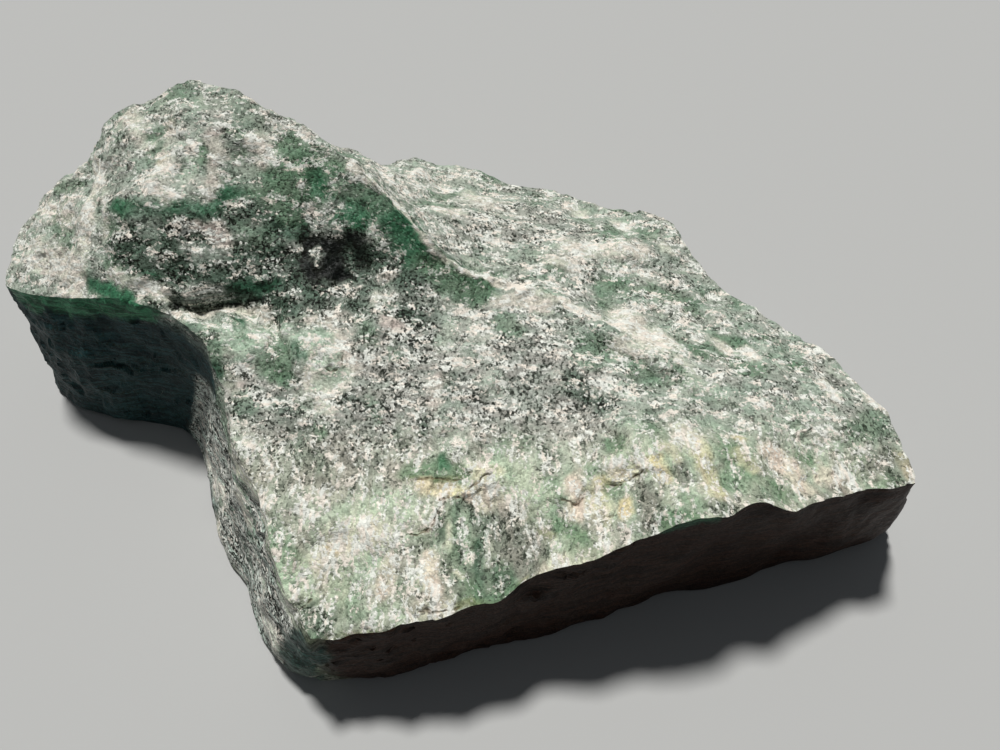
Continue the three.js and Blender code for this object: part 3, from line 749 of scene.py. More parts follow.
# %% The scar and the flake over it
# A straw-coloured flake ends in a crack. Below it lies a scar with dark and pale stripes.
SCAR = [
    ("mint", 7.5, 0.85, [(25, -62), (34, -67), (39, -75)]),
    ("green", 4, 0.85, [(-8, -60), (2, -60), (12, -61)]),
    ("emerald", 2.6, 0.85, [(4, -55), (5, -59)]),
    ("cream", 1.8, 0.95, [(16, -59), (18, -60)]),
    ("straw", 3.4, 0.95, [(-2, -67), (5, -68), (13, -69)]),
    ("olive", 1.2, 0.35, [(-7, -64), (5, -64), (12, -63)]),
    ("pink", 3.4, 0.8, [(21, -69), (28, -75), (35, -80)]),
    ("teal", 5, 0.8, [(10, -80), (12, -90), (14, -99)]),
    ("striped", 8, 0.9, [(18, -79), (20, -90), (21, -103)]),
    ("grey", 8, 0.9, [(30, -82), (34, -89), (37, -96)]),
    ("deep emerald", 1.8, 0.7, [(18, -88), (19, -98)]),
    ("green", 3.5, 0.7, [(14, -106), (22, -105), (30, -105)]),
    ("pink", 3.4, 0.9, [(0, -95), (2, -102), (4, -106)]),
    ("cream", 1.6, 0.9, [(10, -98), (13, -100)]),
    ("olive", 1.1, 0.5, [(9, -110), (20, -108, 55), (28, -106, 56), (36, -102)]),
    ("olive", 1.1, 0.45, [(-36, -120, 46), (-25, -118, 48), (-16, -116)]),
    ("mint", 2, 0.6, [(14, -79), (16, -94)]),
    ("pale", 1.3, 0.7, [(23, -89), (23, -103)]),
    ("cream", 1.4, 0.8, [(8, -81), (8, -90)]),
    ("dark pepper", 1.6, 0.8, [(4, -79), (6, -88)]),
    ("green", 2.5, 0.6, [(28, -97), (30, -104)]),
    ("pink", 2.4, 0.7, [(16, -71), (22, -75)]),
    ("straw", 3, 0.5, [(20, -64), (25, -63)]),
    ("striped", 3, 0.7, [(8, -97), (10, -104)]),
    ("deep emerald", 2.5, 0.5, [(23, -100), (30, -99)]),
    ("grey", 2.5, 0.6, [(-2, -109), (5, -111)]),
    ("grey", 3, 0.5, [(7, -102), (12, -105)]),
    ("teal", 4, 0.7, [(29, -51), (34, -51)]),
    ("dark pepper", 6, 0.5, [(25, -103), (30, -106, 55)]),
    ("cream", 5, 0.6, [(-33, -100), (-31, -103)]),
    ("speckled", 6, 0.7, [(-24, -72), (-20, -76)]),
]

# %% The front left corner
# The left corner is mint and cream, and at its tip dark teal, the rock's green darkened as painted shade.
FRONT_LEFT = [
    ("pale", 9, 0.8, [(-39, -76), (-25, -79), (-10, -79)]),
    ("mint", 6, 0.85, [(-49, -96), (-47, -103), (-43, -108)]),
    ("cream", 5.5, 0.85, [(-32, -85), (-23, -84), (-16, -84)]),
    ("mint", 4.5, 0.6, [(-30, -76), (-20, -75)]),
    ("ochre", 1.4, 0.5, [(-37, -89), (-34, -90)]),
    ("cream", 3, 0.7, [(-41, -93), (-38, -98)]),
    ("teal", 5.5, 0.55, [(-31, -97), (-28, -103), (-28, -111)]),
    ("pink", 2.6, 0.65, [(-13, -95), (-15, -105)]),
    ("pepper", 4, 0.7, [(-7, -93), (-6, -99)]),
    ("pale", 4.6, 0.6, [(-9, -108), (-4, -110)]),
    ("cream", 4, 0.6, [(-1, -112), (7, -111)]),
    ("teal", 5.5, 0.5, [(-72, -75), (-59, -90)]),
    ("mint", 4, 0.6, [(-12, -73), (-3, -78)]),
    # Painted shade at the tip, in dark teal.
    ("painted shade teal", 4.5, 0.9, [(-46, -116, 38), (-41, -120, 36), (-48, -120, 24)]),
    ("teal", 4, 0.7, [(-54, -87), (-51, -92)]),
    ("teal", 3, 0.6, [(-42, -112), (-36, -114)]),
    ("grey", 4, 0.5, [(-5, -107), (0, -110)]),
    ("pale", 3.6, 0.7, [(-49, -107), (-44, -111)]),
    ("grey", 3.4, 0.7, [(-41, -112), (-36, -114)]),
    ("teal", 3.6, 0.6, [(-56, -86), (-51, -89)]),
    ("dark pepper", 5, 0.8, [(-41, -112), (-37, -114)]),
]

# %% All the strokes in order
STROKES = (
    CROWN + SHOULDER + SCOOP + UNDER_RIM + LEFT_FACET + SLAB
    + FLAKES + RIM_AND_BACK + FRONT_RIGHT + SCAR + FRONT_LEFT
)
print("strokes:", len(STROKES), "of", len({stroke[0] for stroke in STROKES}), "kinds")

# %% [markdown]
# ## The walls
#
# The walls in front are painted dark: a dark green end on the left and a dark brown front, the
# rock's own green and brown made darker as painted shade. Between them lies a side in thin grey
# layers. These colours end at the edges, where the stone turns. A stroke alone would run over the
# edge, so each of these strokes also says which way the face under it looks, and they are laid on
# steep faces only.

# %% The walls in front
# Each: its kind, the way the face looks, half its width, its cover, and its line.
WALL_STROKES = [
    # Painted shade: the left end in dark green and the front and right end in brown, over the rock's own
    # colours.
    ("painted shade green", "front", 50, 1.0, [(-196, 24, 30), (-160, 10, 30), (-134, 2, 30), (-118, -8, 30)]),
    ("rim green", "any", 7, 0.8, [(-196, 34, 74), (-195, 50, 72)]),
    ("brown", "any", 10, 0.5, [(198, -58, 0), (198, -52, 14)]),
    ("brown", "any", 8, 0.5, [(198, -57, 34), (196, -44, 38)]),
    ("brown", "front", 60, 1.0, [(16, -113, 26), (70, -97, 34), (110, -88, 38)]),
    ("brown", "front", 60, 1.0, [(110, -88, 38), (145, -78, 40), (196, -60, 40)]),
    ("foliated", "left", 26, 1.0, [(-108, -14, 24), (-90, -40, 34), (-82, -66, 30)]),
    ("foliated", "left", 26, 1.0, [(-82, -66, 30), (-72, -88, 24), (-60, -112, 20)]),
    ("teal", "left", 6, 0.7, [(-86, -28, 64), (-80, -44, 60), (-75, -60, 50), (-72, -74, 36)]),
    ("dark pepper", "left", 3, 0.6, [(-90, -50, 30), (-84, -66, 24), (-76, -82, 20)]),
    ("cream", "left", 5, 0.8, [(-112, -16, 8), (-104, -34, 14), (-94, -48, 18)]),
    ("cream", "left", 4, 0.7, [(-78, -60, 46), (-74, -70, 40)]),
    ("cream", "left", 7, 0.7, [(-66, -98, 16), (-60, -110, 20), (-57, -114, 12)]),
    (
        "rim green", "front", 13, 1.0,
        [(-197, 45, 70), (-184, 30, 74), (-166, 22, 78), (-142, 15, 84), (-124, 8, 86)],
    ),
    # Painted shade at the left corner's tip, in dark teal.
    ("painted shade teal", "front", 9, 0.9, [(-52, -118, 8), (-45, -121, 40)]),
    ("deep emerald", "front", 4.5, 0.95, [(83, -91), (97, -88)]),
]
# Round the left end the painted shade of the dark green end runs out in fingers between the pale
# layers: height and reach.
FINGERS = [(5, 58), (16, 44), (27, 68), (39, 50), (50, 74), (62, 54)]
FINGER_HALF = 6
FINGER_COVER = 0.85
FINGER_ROOT = (-198, 28)
FINGER_TIP = -199
# A way: its direction on the plan, and how far a face must look that way for some paint, and all.
WAYS = {
    "front": ((-0.35, -1.0), 0.0, 0.25),
    "left": ((-1.0, 0.0), 0.5, 0.65),
    "any": ((0.0, 0.0), -2, -1),
}

for height, reach in FINGERS:
    line = [(*FINGER_ROOT, height), (FINGER_TIP, reach, height)]
    WALL_STROKES.append(("painted shade green", "any", FINGER_HALF, FINGER_COVER, line))
print("strokes on the walls:", len(WALL_STROKES))

# %% Lay on the paint
RAGGED_BROAD = {"size": 9, "reach": 3.5, "seed": 31}
RAGGED_FINE = {"size": 2.6, "reach": 1.8, "seed": 34}
FULLY_RAGGED = 6
SOFT_SHARE = 0.45
# Spots of noise under the strokes: their kind, size, threshold, cover and seed.
MOTTLES = [
    ("green", 15, 0.30, 0.6, 21),
    ("pale", 11, 0.28, 0.8, 22),
    ("mint", 9, 0.42, 0.6, 23),
    ("pepper", 19, 0.20, 0.6, 24),
]
MOTTLE_EDGE = 0.15
MOTTLE_OCTAVES = 4

ragged = warp_at(points, **RAGGED_BROAD) + warp_at(points, **RAGGED_FINE)


def as_row(kind):
    """The colour, the two shares and the polish of a kind, in one row."""
    colour, dark, white, polish = KINDS[kind]
    return np.array([*colour, dark, white, polish])


def covered(rows, kind, mask):
    """Rows of paint drawn towards a kind of rock, as far as the mask says."""
    return rows + mask[:, None] * (as_row(kind) - rows)


def stroke_mask(half, cover, line, soft=SOFT_SHARE):
    """How much of each point the stroke covers. Narrow strokes have less ragged borders."""
    distance = along_line(points + ragged * min(1, half / FULLY_RAGGED), on_stone(carrier, line))[0]
    return cover * (1 - eased_step(distance / half, 1 - soft, 1 + soft))


paint = np.tile(as_row("speckled"), (len(points), 1))
for kind, size, threshold, cover, seed in MOTTLES:
    lumps = noise_at(points, size, seed, MOTTLE_OCTAVES)
    spots = eased_step(lumps, threshold - MOTTLE_EDGE, threshold + MOTTLE_EDGE)
    paint = covered(paint, kind, cover * spots)
for kind, half, cover, line in STROKES:
    paint = covered(paint, kind, stroke_mask(half, cover, line))
print("shares of dark and white grains:", paint[:, 3].mean().round(2), paint[:, 4].mean().round(2))

# %% Lighter in front
# Towards the front edge the stone is lighter and warmer, with fewer dark grains.
FRONT_ENDS = (-62, -36)
FRONT_TINT = (1.19, 1.17, 1.08)
FRONT_FEWER_DARK = 0.25

in_front = 1 - eased_step(points[:, 1], *FRONT_ENDS)
paint[:, :3] *= 1 + (np.array(FRONT_TINT) - 1) * in_front[:, None]
paint[:, 3] *= 1 - FRONT_FEWER_DARK * in_front
print("points in front:", round(100 * in_front.mean()), "in 100")

# %% [markdown]
# ## The broken surface
#
# Quartzite breaks across its grains into small scallops and tilted plates. Scattered points in
# space stand for the plates: every plate has its own slope and height, and where two of them meet
# there is a small step. Three sizes of plate are laid over each other, warped by noise so that
# their borders aren't straight, and soft lumps of noise lie under them all. The crest is rougher
# than the slab, and the walls are smoother. On the far side the rock has come off in much larger
# plates, which only cut in. Pale quartz is harder than the mica in the dark rock, so it stands a
# little proud: that is why the paint is worked out before the relief.

# %% Hollowed plates
CELL_SHUFFLE = 37.0
PLATE_SHIFT = (3.1, -1.7, 2.3)
WARP_SIZE = 0.7
WARP_REACH = 0.35
# The height in a bowl that counts as level.
BOWL_MIDDLE = 0.3


def plates_at(points, size, bowl, tilt, step, soft, seed):
    """Height of hollowed and tilted plates of that size, which meet in ridges and small steps."""
    shift = Vector([seed * part for part in PLATE_SHIFT])
    places = (points + warp_at(points, size * WARP_SIZE, size * WARP_REACH, seed)) / size
    result = np.empty(len(points))
    for index, place in enumerate(places):
        place = Vector(place) + shift
        distances, centres = noise.voronoi(place)
        levels = []
        for centre in centres[:2]:
            lean = 2 * noise.cell_vector(centre * CELL_SHUFFLE) - Vector((1, 1, 1))
            height = noise.cell(centre * CELL_SHUFFLE)
            levels.append(step * height + tilt * size * lean.dot(place - centre))
        share = max(0.0, 1 - (distances[1] - distances[0]) * size / soft)
        level = levels[0] + (levels[1] - levels[0]) * 0.5 * share * share
        result[index] = level + bowl * (min(distances[0], 1) ** 2 - BOWL_MIDDLE)
    return result


# %% Work the surface
LUMP = {"size": 26, "seed": 1}
LUMP_RISE = 0.6
KNOB = {"size": 7, "seed": 2}
KNOB_RISE = 0.34
PLATES = [
    {"size": 24, "bowl": 0.5, "tilt": 0.045, "step": 0.20, "soft": 3.0, "seed": 40},
    {"size": 12, "bowl": 0.4, "tilt": 0.075, "step": 0.18, "soft": 1.6, "seed": 41},
    {"size": 6, "bowl": 0.26, "tilt": 0.09, "step": 0.10, "soft": 1.0, "seed": 42},
]
# The crest is where x plus this share of y is below the first number, and it ends by the second.
CREST_SLANT = 0.8
CREST_EDGE = (-10, 40)
CREST_SHARE = 1.3
WALL_SHARE = 0.45

relief = LUMP_RISE * noise_at(points, **LUMP) + KNOB_RISE * noise_at(points, **KNOB)
for plates in PLATES:
    relief += plates_at(points, **plates)
on_crest = 1 - eased_step(points[:, 0] + CREST_SLANT * points[:, 1], *CREST_EDGE)
top_share = 1 + (CREST_SHARE - 1) * on_crest
relief *= WALL_SHARE + (top_share - WALL_SHARE) * np.maximum(facing_up, on_crest)
print(f"plates and lumps: {relief.min():.1f} to {relief.max():.1f} mm, usually {relief.std():.2f}")

# %% The far side and the pale rock
BACK_PLATES = {"size": 44, "bowl": 1.5, "tilt": 0.10, "step": 0.9, "soft": 5.0, "seed": 50}
BACK_DEPTH = 0.6
AWAY_SLANT = 0.7
# How far a face must look back and right to begin to count as the far side, and to count fully.
FACES_AWAY = (0.3, 0.8)
PALE_RISE = 1.4

away = eased_step(AWAY_SLANT * normals[:, 0] + normals[:, 1], *FACES_AWAY) * (1 - facing_up)
relief += away * np.minimum(0, plates_at(points, **BACK_PLATES) - BACK_DEPTH)
paleness = np.sqrt(paint[:, 1])
relief += PALE_RISE * (paleness - paleness.mean())
print(f"with the far side: {relief.min():.1f} to {relief.max():.1f} mm, usually {relief.std():.2f}")

# %% Cut the ledges and cracks
EDGE_OF_LEDGE = 0.7
LEDGE_ENDS = 8.0
# The share of a ledge's rise that is cut from its low side. The rest is raised on its high side.
LEDGE_DROP = 0.4
WANDER = {"size": 6, "reach": 1.6, "seed": 7}
JITTER = {"size": 2.5, "reach": 0.7, "seed": 9}
CRACK_WANDER = 0.35

wander = warp_at(points, **WANDER)
for rise, reach, line in LEDGES:
    distance, side, run, length = along_line(points + wander, on_stone(carrier, line))
    ends = eased_step(run, 0, LEDGE_ENDS) * eased_step(length - run, 0, LEDGE_ENDS)
    high_side = eased_step(side * distance, -EDGE_OF_LEDGE, EDGE_OF_LEDGE)
    relief += rise * facing_up * ends * (high_side - LEDGE_DROP) * np.exp(-distance / reach)
crack_depth = np.zeros(len(points))
jitter = CRACK_WANDER * wander + warp_at(points, **JITTER)
for half, depth, line in CRACKS:
    distance = along_line(points + jitter, on_stone(carrier, line))[0]
    crack_depth = np.maximum(crack_depth, depth * (1 - eased_step(distance, 0, 2 * half)))
relief -= facing_up * crack_depth
print("ledges:", len(LEDGES), "cracks:", len(CRACKS), f"up to {crack_depth.max():.1f} mm deep")

# %% [markdown]
# ## The front edge
#
# The long edge between the top and the front wall is broken too. Chips have come off it and left
# nicks, and between them blunt noses stand forward. Moving the points near the edge straight back
# or forward keeps it crisp, which carving across it wouldn't.

# %% Nicks and noses in the front edge
# How far the edge is set back, or forward where negative, how wide, and where along the stone.
NICKS = [
    (-4.4, 10, -44), (-2.6, 10, -14), (-2.6, 12, 6), (-4.0, 6, 26), (1.2, 10, 47),
    (0.8, 9, 78), (0.8, 8, 97), (-1.5, 5, 106), (2.0, 8, 118), (-1.2, 6, 131),
]
EDGE_LINE = [
    (-44, -119), (0, -114), (45, -102), (79, -93), (102, -88),
    (119, -83), (136, -78), (168, -67), (196, -59),
]
NICK_REACH = 16.0
NICK_FOOT = (6, 30)

from_edge = along_line(points, on_stone(carrier, EDGE_LINE))[0]
near_edge = (1 - eased_step(from_edge, 0, NICK_REACH)) * eased_step(points[:, 2], *NICK_FOOT)
set_back = np.zeros(len(points))
for depth, width, place in NICKS:
    set_back += depth * np.exp(-(((points[:, 0] - place) / width) ** 2))
set_back *= near_edge
print("the front edge moves by", round(set_back.min(), 1), "to", round(set_back.max(), 1), "mm")

# %% [markdown]
# ## From points to a mesh
#
# The relief moves each point along its normal. It fades out towards the ground, so that the stone
# still stands on its flat underside. The result is then fitted into the plain stone's box, because
# the dressed stone must be no larger. The paint goes on the mesh last, as attributes that the
# material reads: they follow the surface, where a texture in space would need the strokes again.

# %% Move the points
RELIEF_FADE = 8.0
OFF_GROUND = 0.2

relief *= eased_step(points[:, 2], 0, RELIEF_FADE)
moved = points + normals * relief[:, None]
moved[:, 1] += set_back
on_ground = points[:, 2] < GROUND / MM
moved[:, 2] = np.where(on_ground, points[:, 2], np.maximum(moved[:, 2], OFF_GROUND))
low, high = np.array(cad_box[0]) / MM, np.array(cad_box[1]) / MM
moved_low, moved_high = moved.min(0), moved.max(0)
share = np.minimum(1, (high - low) / (moved_high - moved_low))
moved[:, :2] = ((low + high) / 2 + share * (moved - (moved_low + moved_high) / 2))[:, :2]
moved[:, 2] *= share[2]
for vert, place in zip(skin.verts, moved):
    vert.co = Vector(place) * MM
print("fitted to the box by", [round(float(part), 4) for part in share])

# %% The boulder's mesh
CREASE_ANGLE = math.radians(38)

boulder_data = bpy.data.meshes.new("aventurine_boulder")
skin.normal_update()
for face in skin.faces:
    face.smooth = True
for edge in skin.edges:
    edge.smooth = edge.calc_face_angle(0) < CREASE_ANGLE
print("creased edges:", sum(not edge.smooth for edge in skin.edges))
skin.to_mesh(boulder_data)
skin.free()
# The plain stone's own normals came along with the copy, and would shade it in flat facets.
if "custom_normal" in boulder_data.attributes:
    boulder_data.attributes.remove(boulder_data.attributes["custom_normal"])
boulder = bpy.data.objects.new("aventurine_boulder", boulder_data)
bpy.context.scene.collection.objects.link(boulder)
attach(boulder, "root")
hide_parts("boulder")
print("boulder:", len(boulder_data.vertices), "points,", len(boulder_data.polygons), "faces")

# %% Paint the walls
# Each corner of a face has its own value, so the walls' paint can end sharply at an edge. Which
# faces are walls is asked of the form before its surface was broken.
# How far a face must look up to begin to lose the walls' paint, and to take none.
FACES_OUT = (0.45, 0.60)
WALL_SOFT_SHARE = 0.15
NO_LENGTH = 1e-9

corner_point = np.empty(len(boulder_data.loops), int)
boulder_data.loops.foreach_get("vertex_index", corner_point)
corners = points[corner_point].reshape(-1, 3, 3)
face_normals = np.cross(corners[:, 1] - corners[:, 0], corners[:, 2] - corners[:, 0])
face_normals /= np.maximum(NO_LENGTH, np.linalg.norm(face_normals, axis=1))[:, None]
face_normals = np.repeat(face_normals, 3, axis=0)
steep = 1 - eased_step(face_normals[:, 2], *FACES_OUT)
corner_paint = paint[corner_point]
for kind, way, half, cover, line in WALL_STROKES:
    direction, turned_none, turned_full = WAYS[way]
    turned = eased_step(face_normals[:, :2] @ np.array(direction), turned_none, turned_full)
    mask = stroke_mask(half, cover, line, WALL_SOFT_SHARE)[corner_point]
    corner_paint = covered(corner_paint, kind, mask * steep * turned)
print("corners on walls:", round(100 * steep.mean()), "in 100")

# %% Store the paint on the mesh
crack_shade = np.clip(crack_depth, 0, 1) * facing_up
opaque = np.ones((len(corner_point), 1))
layers = {
    "dark_share": corner_paint[:, 3],
    "white_share": corner_paint[:, 4],
    "polish": corner_paint[:, 5],
    "crack": crack_shade[corner_point],
    "in_front": in_front[corner_point],
    "on_wall": steep,
}
ground = boulder_data.attributes.new("ground", "FLOAT_COLOR", "CORNER")
ground.data.foreach_set("color", np.hstack([corner_paint[:, :3], opaque]).astype(np.float32).ravel())
for name, values in layers.items():
    layer = boulder_data.attributes.new(name, "FLOAT", "CORNER")
    layer.data.foreach_set("value", values.astype(np.float32))
print("painted: ground,", ", ".join(layers))

# %% [markdown]
# ## The grains
#
# Two Voronoi textures stand for the grains: one with cells of about a millimetre, and one of half
# that for the sugar between them. A noise stirs them, so that no border is straight. The cells are
# flattened, because the rock was pressed in its bed: they look round from above and drawn out on
# the walls. Cells that fill the space fit every side of the stone, which a flat texture laid over
# it wouldn't without seams.

# %% Node helpers
def put(tree, socket, value):
    """Links a value that comes from a node, and sets any other."""
    if isinstance(value, bpy.types.NodeSocket):
        tree.links.new(value, socket)
    else:
        socket.default_value = value


def add(tree, kind, **values):
    """A node of that kind. Values named as sockets are set or linked; the others are settings."""
    node = tree.nodes.new(kind)
    for name, value in values.items():
        if name.replace("_", " ") not in node.inputs:
            setattr(node, name, value)
    for name, value in values.items():
        if name.replace("_", " ") in node.inputs:
            put(tree, node.inputs[name.replace("_", " ")], value)
    return node


def maths(tree, operation, first, second=0.0, third=0.0):
    node = add(tree, "ShaderNodeMath", operation=operation)
    for socket, value in zip(node.inputs, (first, second, third)):
        put(tree, socket, value)
    return node.outputs[0]


def vector_maths(tree, operation, first, second=(0, 0, 0)):
    node = add(tree, "ShaderNodeVectorMath", operation=operation)
    put(tree, node.inputs[0], first)
    put(tree, node.inputs[1], second)
    return node.outputs[0]


def scaled(tree, colour, share):
    node = add(tree, "ShaderNodeVectorMath", operation="SCALE", Scale=share)
    put(tree, node.inputs[0], colour)
    return node.outputs[0]


def mixed(tree, share, first, second):
    node = add(tree, "ShaderNodeMix", data_type="RGBA")
    for name, value in (("Factor", share), ("A", first), ("B", second)):
        put(tree, next(socket for socket in node.inputs if socket.name == name and socket.enabled), value)
    return next(socket for socket in node.outputs if socket.enabled)


def stepped(tree, value, low, high):
    node = add(tree, "ShaderNodeMapRange", interpolation_type="SMOOTHSTEP")
    for name, number in (("Value", value), ("From Min", low), ("From Max", high)):
        put(tree, node.inputs[name], number)
    return node.outputs[0]


def parted(tree, colour):
    """The three numbers in a colour."""
    return add(tree, "ShaderNodeSeparateColor", Color=colour).outputs


# %% Grains and sugar
PER_MM = 1 / MM
FLATTENED = 1.5
GRAIN = 1.05
SUGAR = 0.58
STIR = (0.7, 0.7, 0.7)
STIR_SCALE = 0.9
STIR_DETAIL = 2.0
MIDDLE = (0.5, 0.5, 0.5)

aventurine = bpy.data.materials.new("aventurine")
aventurine.use_nodes = True
tree = aventurine.node_tree
shader = tree.nodes["Principled BSDF"]

place = add(tree, "ShaderNodeTexCoord").outputs["Object"]
in_bed = (PER_MM, PER_MM, PER_MM * FLATTENED)
place = add(tree, "ShaderNodeMapping", Vector=place, Scale=in_bed).outputs[0]
stir = add(tree, "ShaderNodeTexNoise", Vector=place, Scale=STIR_SCALE, Detail=STIR_DETAIL).outputs["Color"]
stir = vector_maths(tree, "MULTIPLY", vector_maths(tree, "SUBTRACT", stir, MIDDLE), STIR)
stirred = vector_maths(tree, "ADD", place, stir)
grain = add(tree, "ShaderNodeTexVoronoi", Vector=stirred, Scale=1 / GRAIN)
sugar = add(tree, "ShaderNodeTexVoronoi", Vector=stirred, Scale=1 / SUGAR)
grain_values = parted(tree, grain.outputs["Color"])
sugar_values = parted(tree, sugar.outputs["Color"])
shares = {name: add(tree, "ShaderNodeAttribute", attribute_name=name).outputs["Fac"] for name in layers}
print("grains of", GRAIN, "and", SUGAR, "mm")

# %% [markdown]
# ## Clots and blotches
#
# In the rock white quartz gathers in blotches of several millimetres, and grains gather in clots.
# Two coarser noises stand for them. They are drawn out along the bed on top and across it in
# front, and on the walls they lie in thin layers, as the rock does where it is cut across its bed.

# %% Clots and blotches
BLOTCH = 7.0
BLOTCH_DETAIL = 2.0
CLOT = 2.8
CLOT_DETAIL = 1.0
BEDDING = math.radians(28)
ALONG = (0.6, 1.2, 1.0)
ACROSS = (1.4, 0.5, 1.0)
LAYERED = (0.22, 0.22, 1.8)

along = add(tree, "ShaderNodeMapping", Vector=stirred, Rotation=(0, 0, BEDDING), Scale=ALONG)
across = add(tree, "ShaderNodeMapping", Vector=stirred, Scale=ACROSS)
layered = add(tree, "ShaderNodeMapping", Vector=place, Scale=LAYERED)


def drawn_out(size, detail):
    """Three noises, drawn out along the bed, or across it in front, and in thin layers on walls."""
    noises = [
        add(tree, "ShaderNodeTexNoise", Vector=way.outputs[0], Scale=1 / size, Detail=detail).outputs["Color"]
        for way in (along, across, layered)
    ]
    blended = mixed(tree, shares["in_front"], noises[0], noises[1])
    return parted(tree, mixed(tree, shares["on_wall"], blended, noises[2]))


blotch_values = drawn_out(BLOTCH, BLOTCH_DETAIL)
clot_values = drawn_out(CLOT, CLOT_DETAIL)
print("blotches of", BLOTCH, "and clots of", CLOT, "mm")

# %% [markdown]
# ## Which grains are white, dark or black
#
# Every cell has random numbers. They are added to those of the clots and blotches, and give one
# rank for white and another for dark. A place is white or dark where its rank lies within the
# share in the paint. White quartz follows its blotches, and the dark grains are scattered singly,
# so the two ranks weigh their parts differently.

# %% White, dark and black grains
CELL_SPREAD = 0.29
NOISE_SPREAD = 0.12
RANK_SLOPE = 0.8
EDGE_SHARE = 0.17
BLACK_EDGE = 0.30


def ranked(*parts):
    """Random values, each with its spread and weight, as one rank between 0 and 1."""
    score = 0.0
    for value, spread, weight in parts:
        centred = maths(tree, "MULTIPLY", maths(tree, "SUBTRACT", value, 0.5), weight / spread)
        score = maths(tree, "ADD", centred, score)
    curve = maths(tree, "TANH", maths(tree, "MULTIPLY", score, RANK_SLOPE))
    return maths(tree, "MULTIPLY_ADD", curve, 0.5, 0.5)


def chosen(rank, share, low, high):
    """1 where the rank is within the share. A share of 0 leaves none, and 1 leaves nothing else."""
    edge = maths(tree, "MULTIPLY_ADD", share, 1 + 2 * EDGE_SHARE, -EDGE_SHARE)
    return stepped(tree, maths(tree, "SUBTRACT", edge, rank), low, high)


white_rank = ranked(
    (blotch_values[0], NOISE_SPREAD, 0.75), (clot_values[0], NOISE_SPREAD, 0.45),
    (grain_values[0], CELL_SPREAD, 0.45), (sugar_values[0], CELL_SPREAD, 0.25),
)
dark_rank = ranked(
    (blotch_values[1], NOISE_SPREAD, 0.35), (clot_values[1], NOISE_SPREAD, 0.35),
    (grain_values[1], CELL_SPREAD, 0.80), (sugar_values[1], CELL_SPREAD, 0.40),
)
is_white = chosen(white_rank, shares["white_share"], -EDGE_SHARE, EDGE_SHARE)
is_dark = chosen(dark_rank, shares["dark_share"], -EDGE_SHARE, EDGE_SHARE)
is_black = chosen(dark_rank, shares["dark_share"], EDGE_SHARE / 2, BLACK_EDGE)
print("ranks:", len(tree.nodes), "nodes so far")

# %% [markdown]
# ## The colour of each grain
#
# No two grains are equally bright, and the ground is a little pinker in one blotch and greener in
# the next. Dark grains are a shade of the ground under them, so that they are green in the green
# rock, and the darkest are near black. Whites are warm or cool by clots. A crack is stained brown.

# %% Brightness and tint
# How much the brightness varies from cell to cell, and the lowest.
SUGAR_SHADES = (0.30, 0.85)
GRAIN_SHADES = (0.50, 0.75)
STREAK_EDGE = (0.35, 0.65)
STREAKS = 0.9
TINT_EDGE = (0.40, 0.60)
PINKER = (1.04, 1.0, 1.0, 1)
GREENER = (0.94, 1.0, 0.965, 1)

brightness = maths(tree, "MULTIPLY_ADD", sugar_values[2], *SUGAR_SHADES)
brightness = maths(tree, "MULTIPLY", maths(tree, "MULTIPLY_ADD", grain_values[2], *GRAIN_SHADES), brightness)
streak = maths(tree, "SUBTRACT", stepped(tree, clot_values[0], *STREAK_EDGE), 0.5)
streak = maths(tree, "MULTIPLY", streak, shares["on_wall"])
brightness = maths(tree, "MULTIPLY", maths(tree, "MULTIPLY_ADD", streak, STREAKS, 1.0), brightness)
tint = mixed(tree, stepped(tree, blotch_values[2], *TINT_EDGE), PINKER, GREENER)
ground = add(tree, "ShaderNodeAttribute", attribute_name="ground").outputs["Color"]
ground = vector_maths(tree, "MULTIPLY", scaled(tree, ground, brightness), tint)
print("brightness from", SUGAR_SHADES[1] * GRAIN_SHADES[1], "to", sum(SUGAR_SHADES) * sum(GRAIN_SHADES))

# %% Ground, white, dark and black
WHITES = (srgb(231, 232, 223), srgb(236, 227, 214))
WHITE_EDGE = (0.45, 0.60)
WHITE_SHADES = (0.5, 0.48)
DARK_GREEN = srgb(48, 60, 44)
DARK_MIX = 0.5
DARK_SHADE = 0.35
DARKEST_SHARE = 0.6
BLACK = srgb(20, 22, 16)
BLACK_SHADE = 0.4
STAIN = srgb(92, 70, 48)

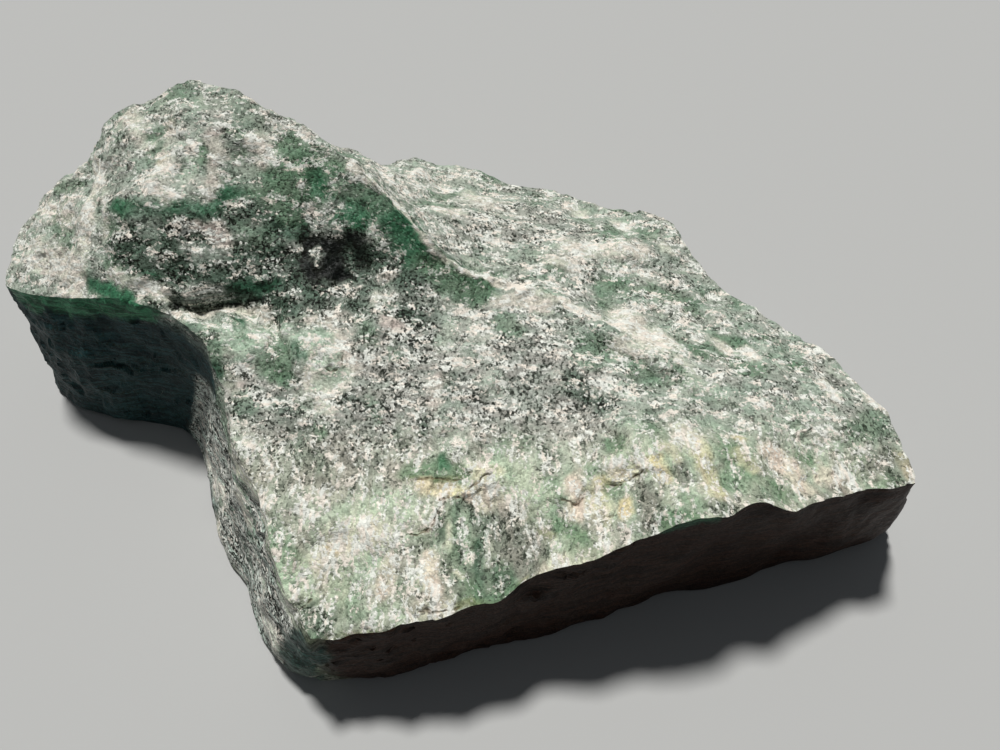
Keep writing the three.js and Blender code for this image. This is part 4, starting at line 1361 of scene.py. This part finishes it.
dark = mixed(tree, DARK_MIX, scaled(tree, ground, DARK_SHADE), (*DARK_GREEN, 1))
dark = vector_maths(tree, "MINIMUM", scaled(tree, ground, DARKEST_SHARE), dark)
black = vector_maths(tree, "MINIMUM", scaled(tree, ground, BLACK_SHADE), BLACK)
dark = mixed(tree, is_black, dark, black)
white = mixed(tree, stepped(tree, clot_values[2], *WHITE_EDGE), (*WHITES[0], 1), (*WHITES[1], 1))
white = scaled(tree, white, maths(tree, "MULTIPLY_ADD", brightness, *WHITE_SHADES))
colour = mixed(tree, is_white, ground, white)
colour = mixed(tree, is_dark, colour, dark)
colour = mixed(tree, shares["crack"], colour, (*STAIN, 1))
tree.links.new(colour, shader.inputs["Base Color"])
print("colour:", len(tree.nodes), "nodes so far")

# %% [markdown]
# ## Grains that catch the light
#
# On a fresh break every grain ends in its own small face, which is why the stone sparkles as it is
# turned. Tilting the normal of each cell does that. Real geometry this fine would take millions of
# points, so the grains' own relief is a bump: round grains, pits between them, and white ones a
# little higher. Polished rock is glossier, but none of it is wet, so the highlights stay low.

# %% Bump and gloss
FACET_TILT = (0.35, 0.35, 0.35)
PIT_SCALE = 0.35
PIT_DETAIL = 4.0
PIT_ROUGHNESS = 0.6
PIT_HEIGHT = 1.2
GRAIN_ROUND = -0.25
WHITE_HEIGHT = 0.25
BUMP_STRENGTH = 0.6
DULLEST = 0.72
POLISHED = -0.35
GRAIN_GLOSS = -0.2
SPECULAR = 0.15

tilt = vector_maths(tree, "SUBTRACT", grain.outputs["Color"], MIDDLE)
tilt = vector_maths(tree, "MULTIPLY", tilt, FACET_TILT)
facet = vector_maths(tree, "ADD", add(tree, "ShaderNodeNewGeometry").outputs["Normal"], tilt)
facet = vector_maths(tree, "NORMALIZE", facet)
pits = add(
    tree, "ShaderNodeTexNoise", Vector=place, Scale=PIT_SCALE, Detail=PIT_DETAIL, Roughness=PIT_ROUGHNESS
).outputs[0]
rounding = maths(tree, "MULTIPLY", grain.outputs["Distance"], GRAIN_ROUND)
height = maths(tree, "MULTIPLY_ADD", pits, PIT_HEIGHT, rounding)
height = maths(tree, "MULTIPLY_ADD", is_white, WHITE_HEIGHT, height)
bump = add(tree, "ShaderNodeBump", Height=height, Distance=MM, Strength=BUMP_STRENGTH, Normal=facet)
tree.links.new(bump.outputs[0], shader.inputs["Normal"])

rough = maths(tree, "MULTIPLY_ADD", shares["polish"], POLISHED, DULLEST)
rough = maths(tree, "MULTIPLY_ADD", grain_values[2], GRAIN_GLOSS, rough)
tree.links.new(rough, shader.inputs["Roughness"])
shader.inputs["Specular IOR Level"].default_value = SPECULAR
boulder_data.materials.append(aventurine)
print("aventurine:", len(tree.nodes), "nodes")
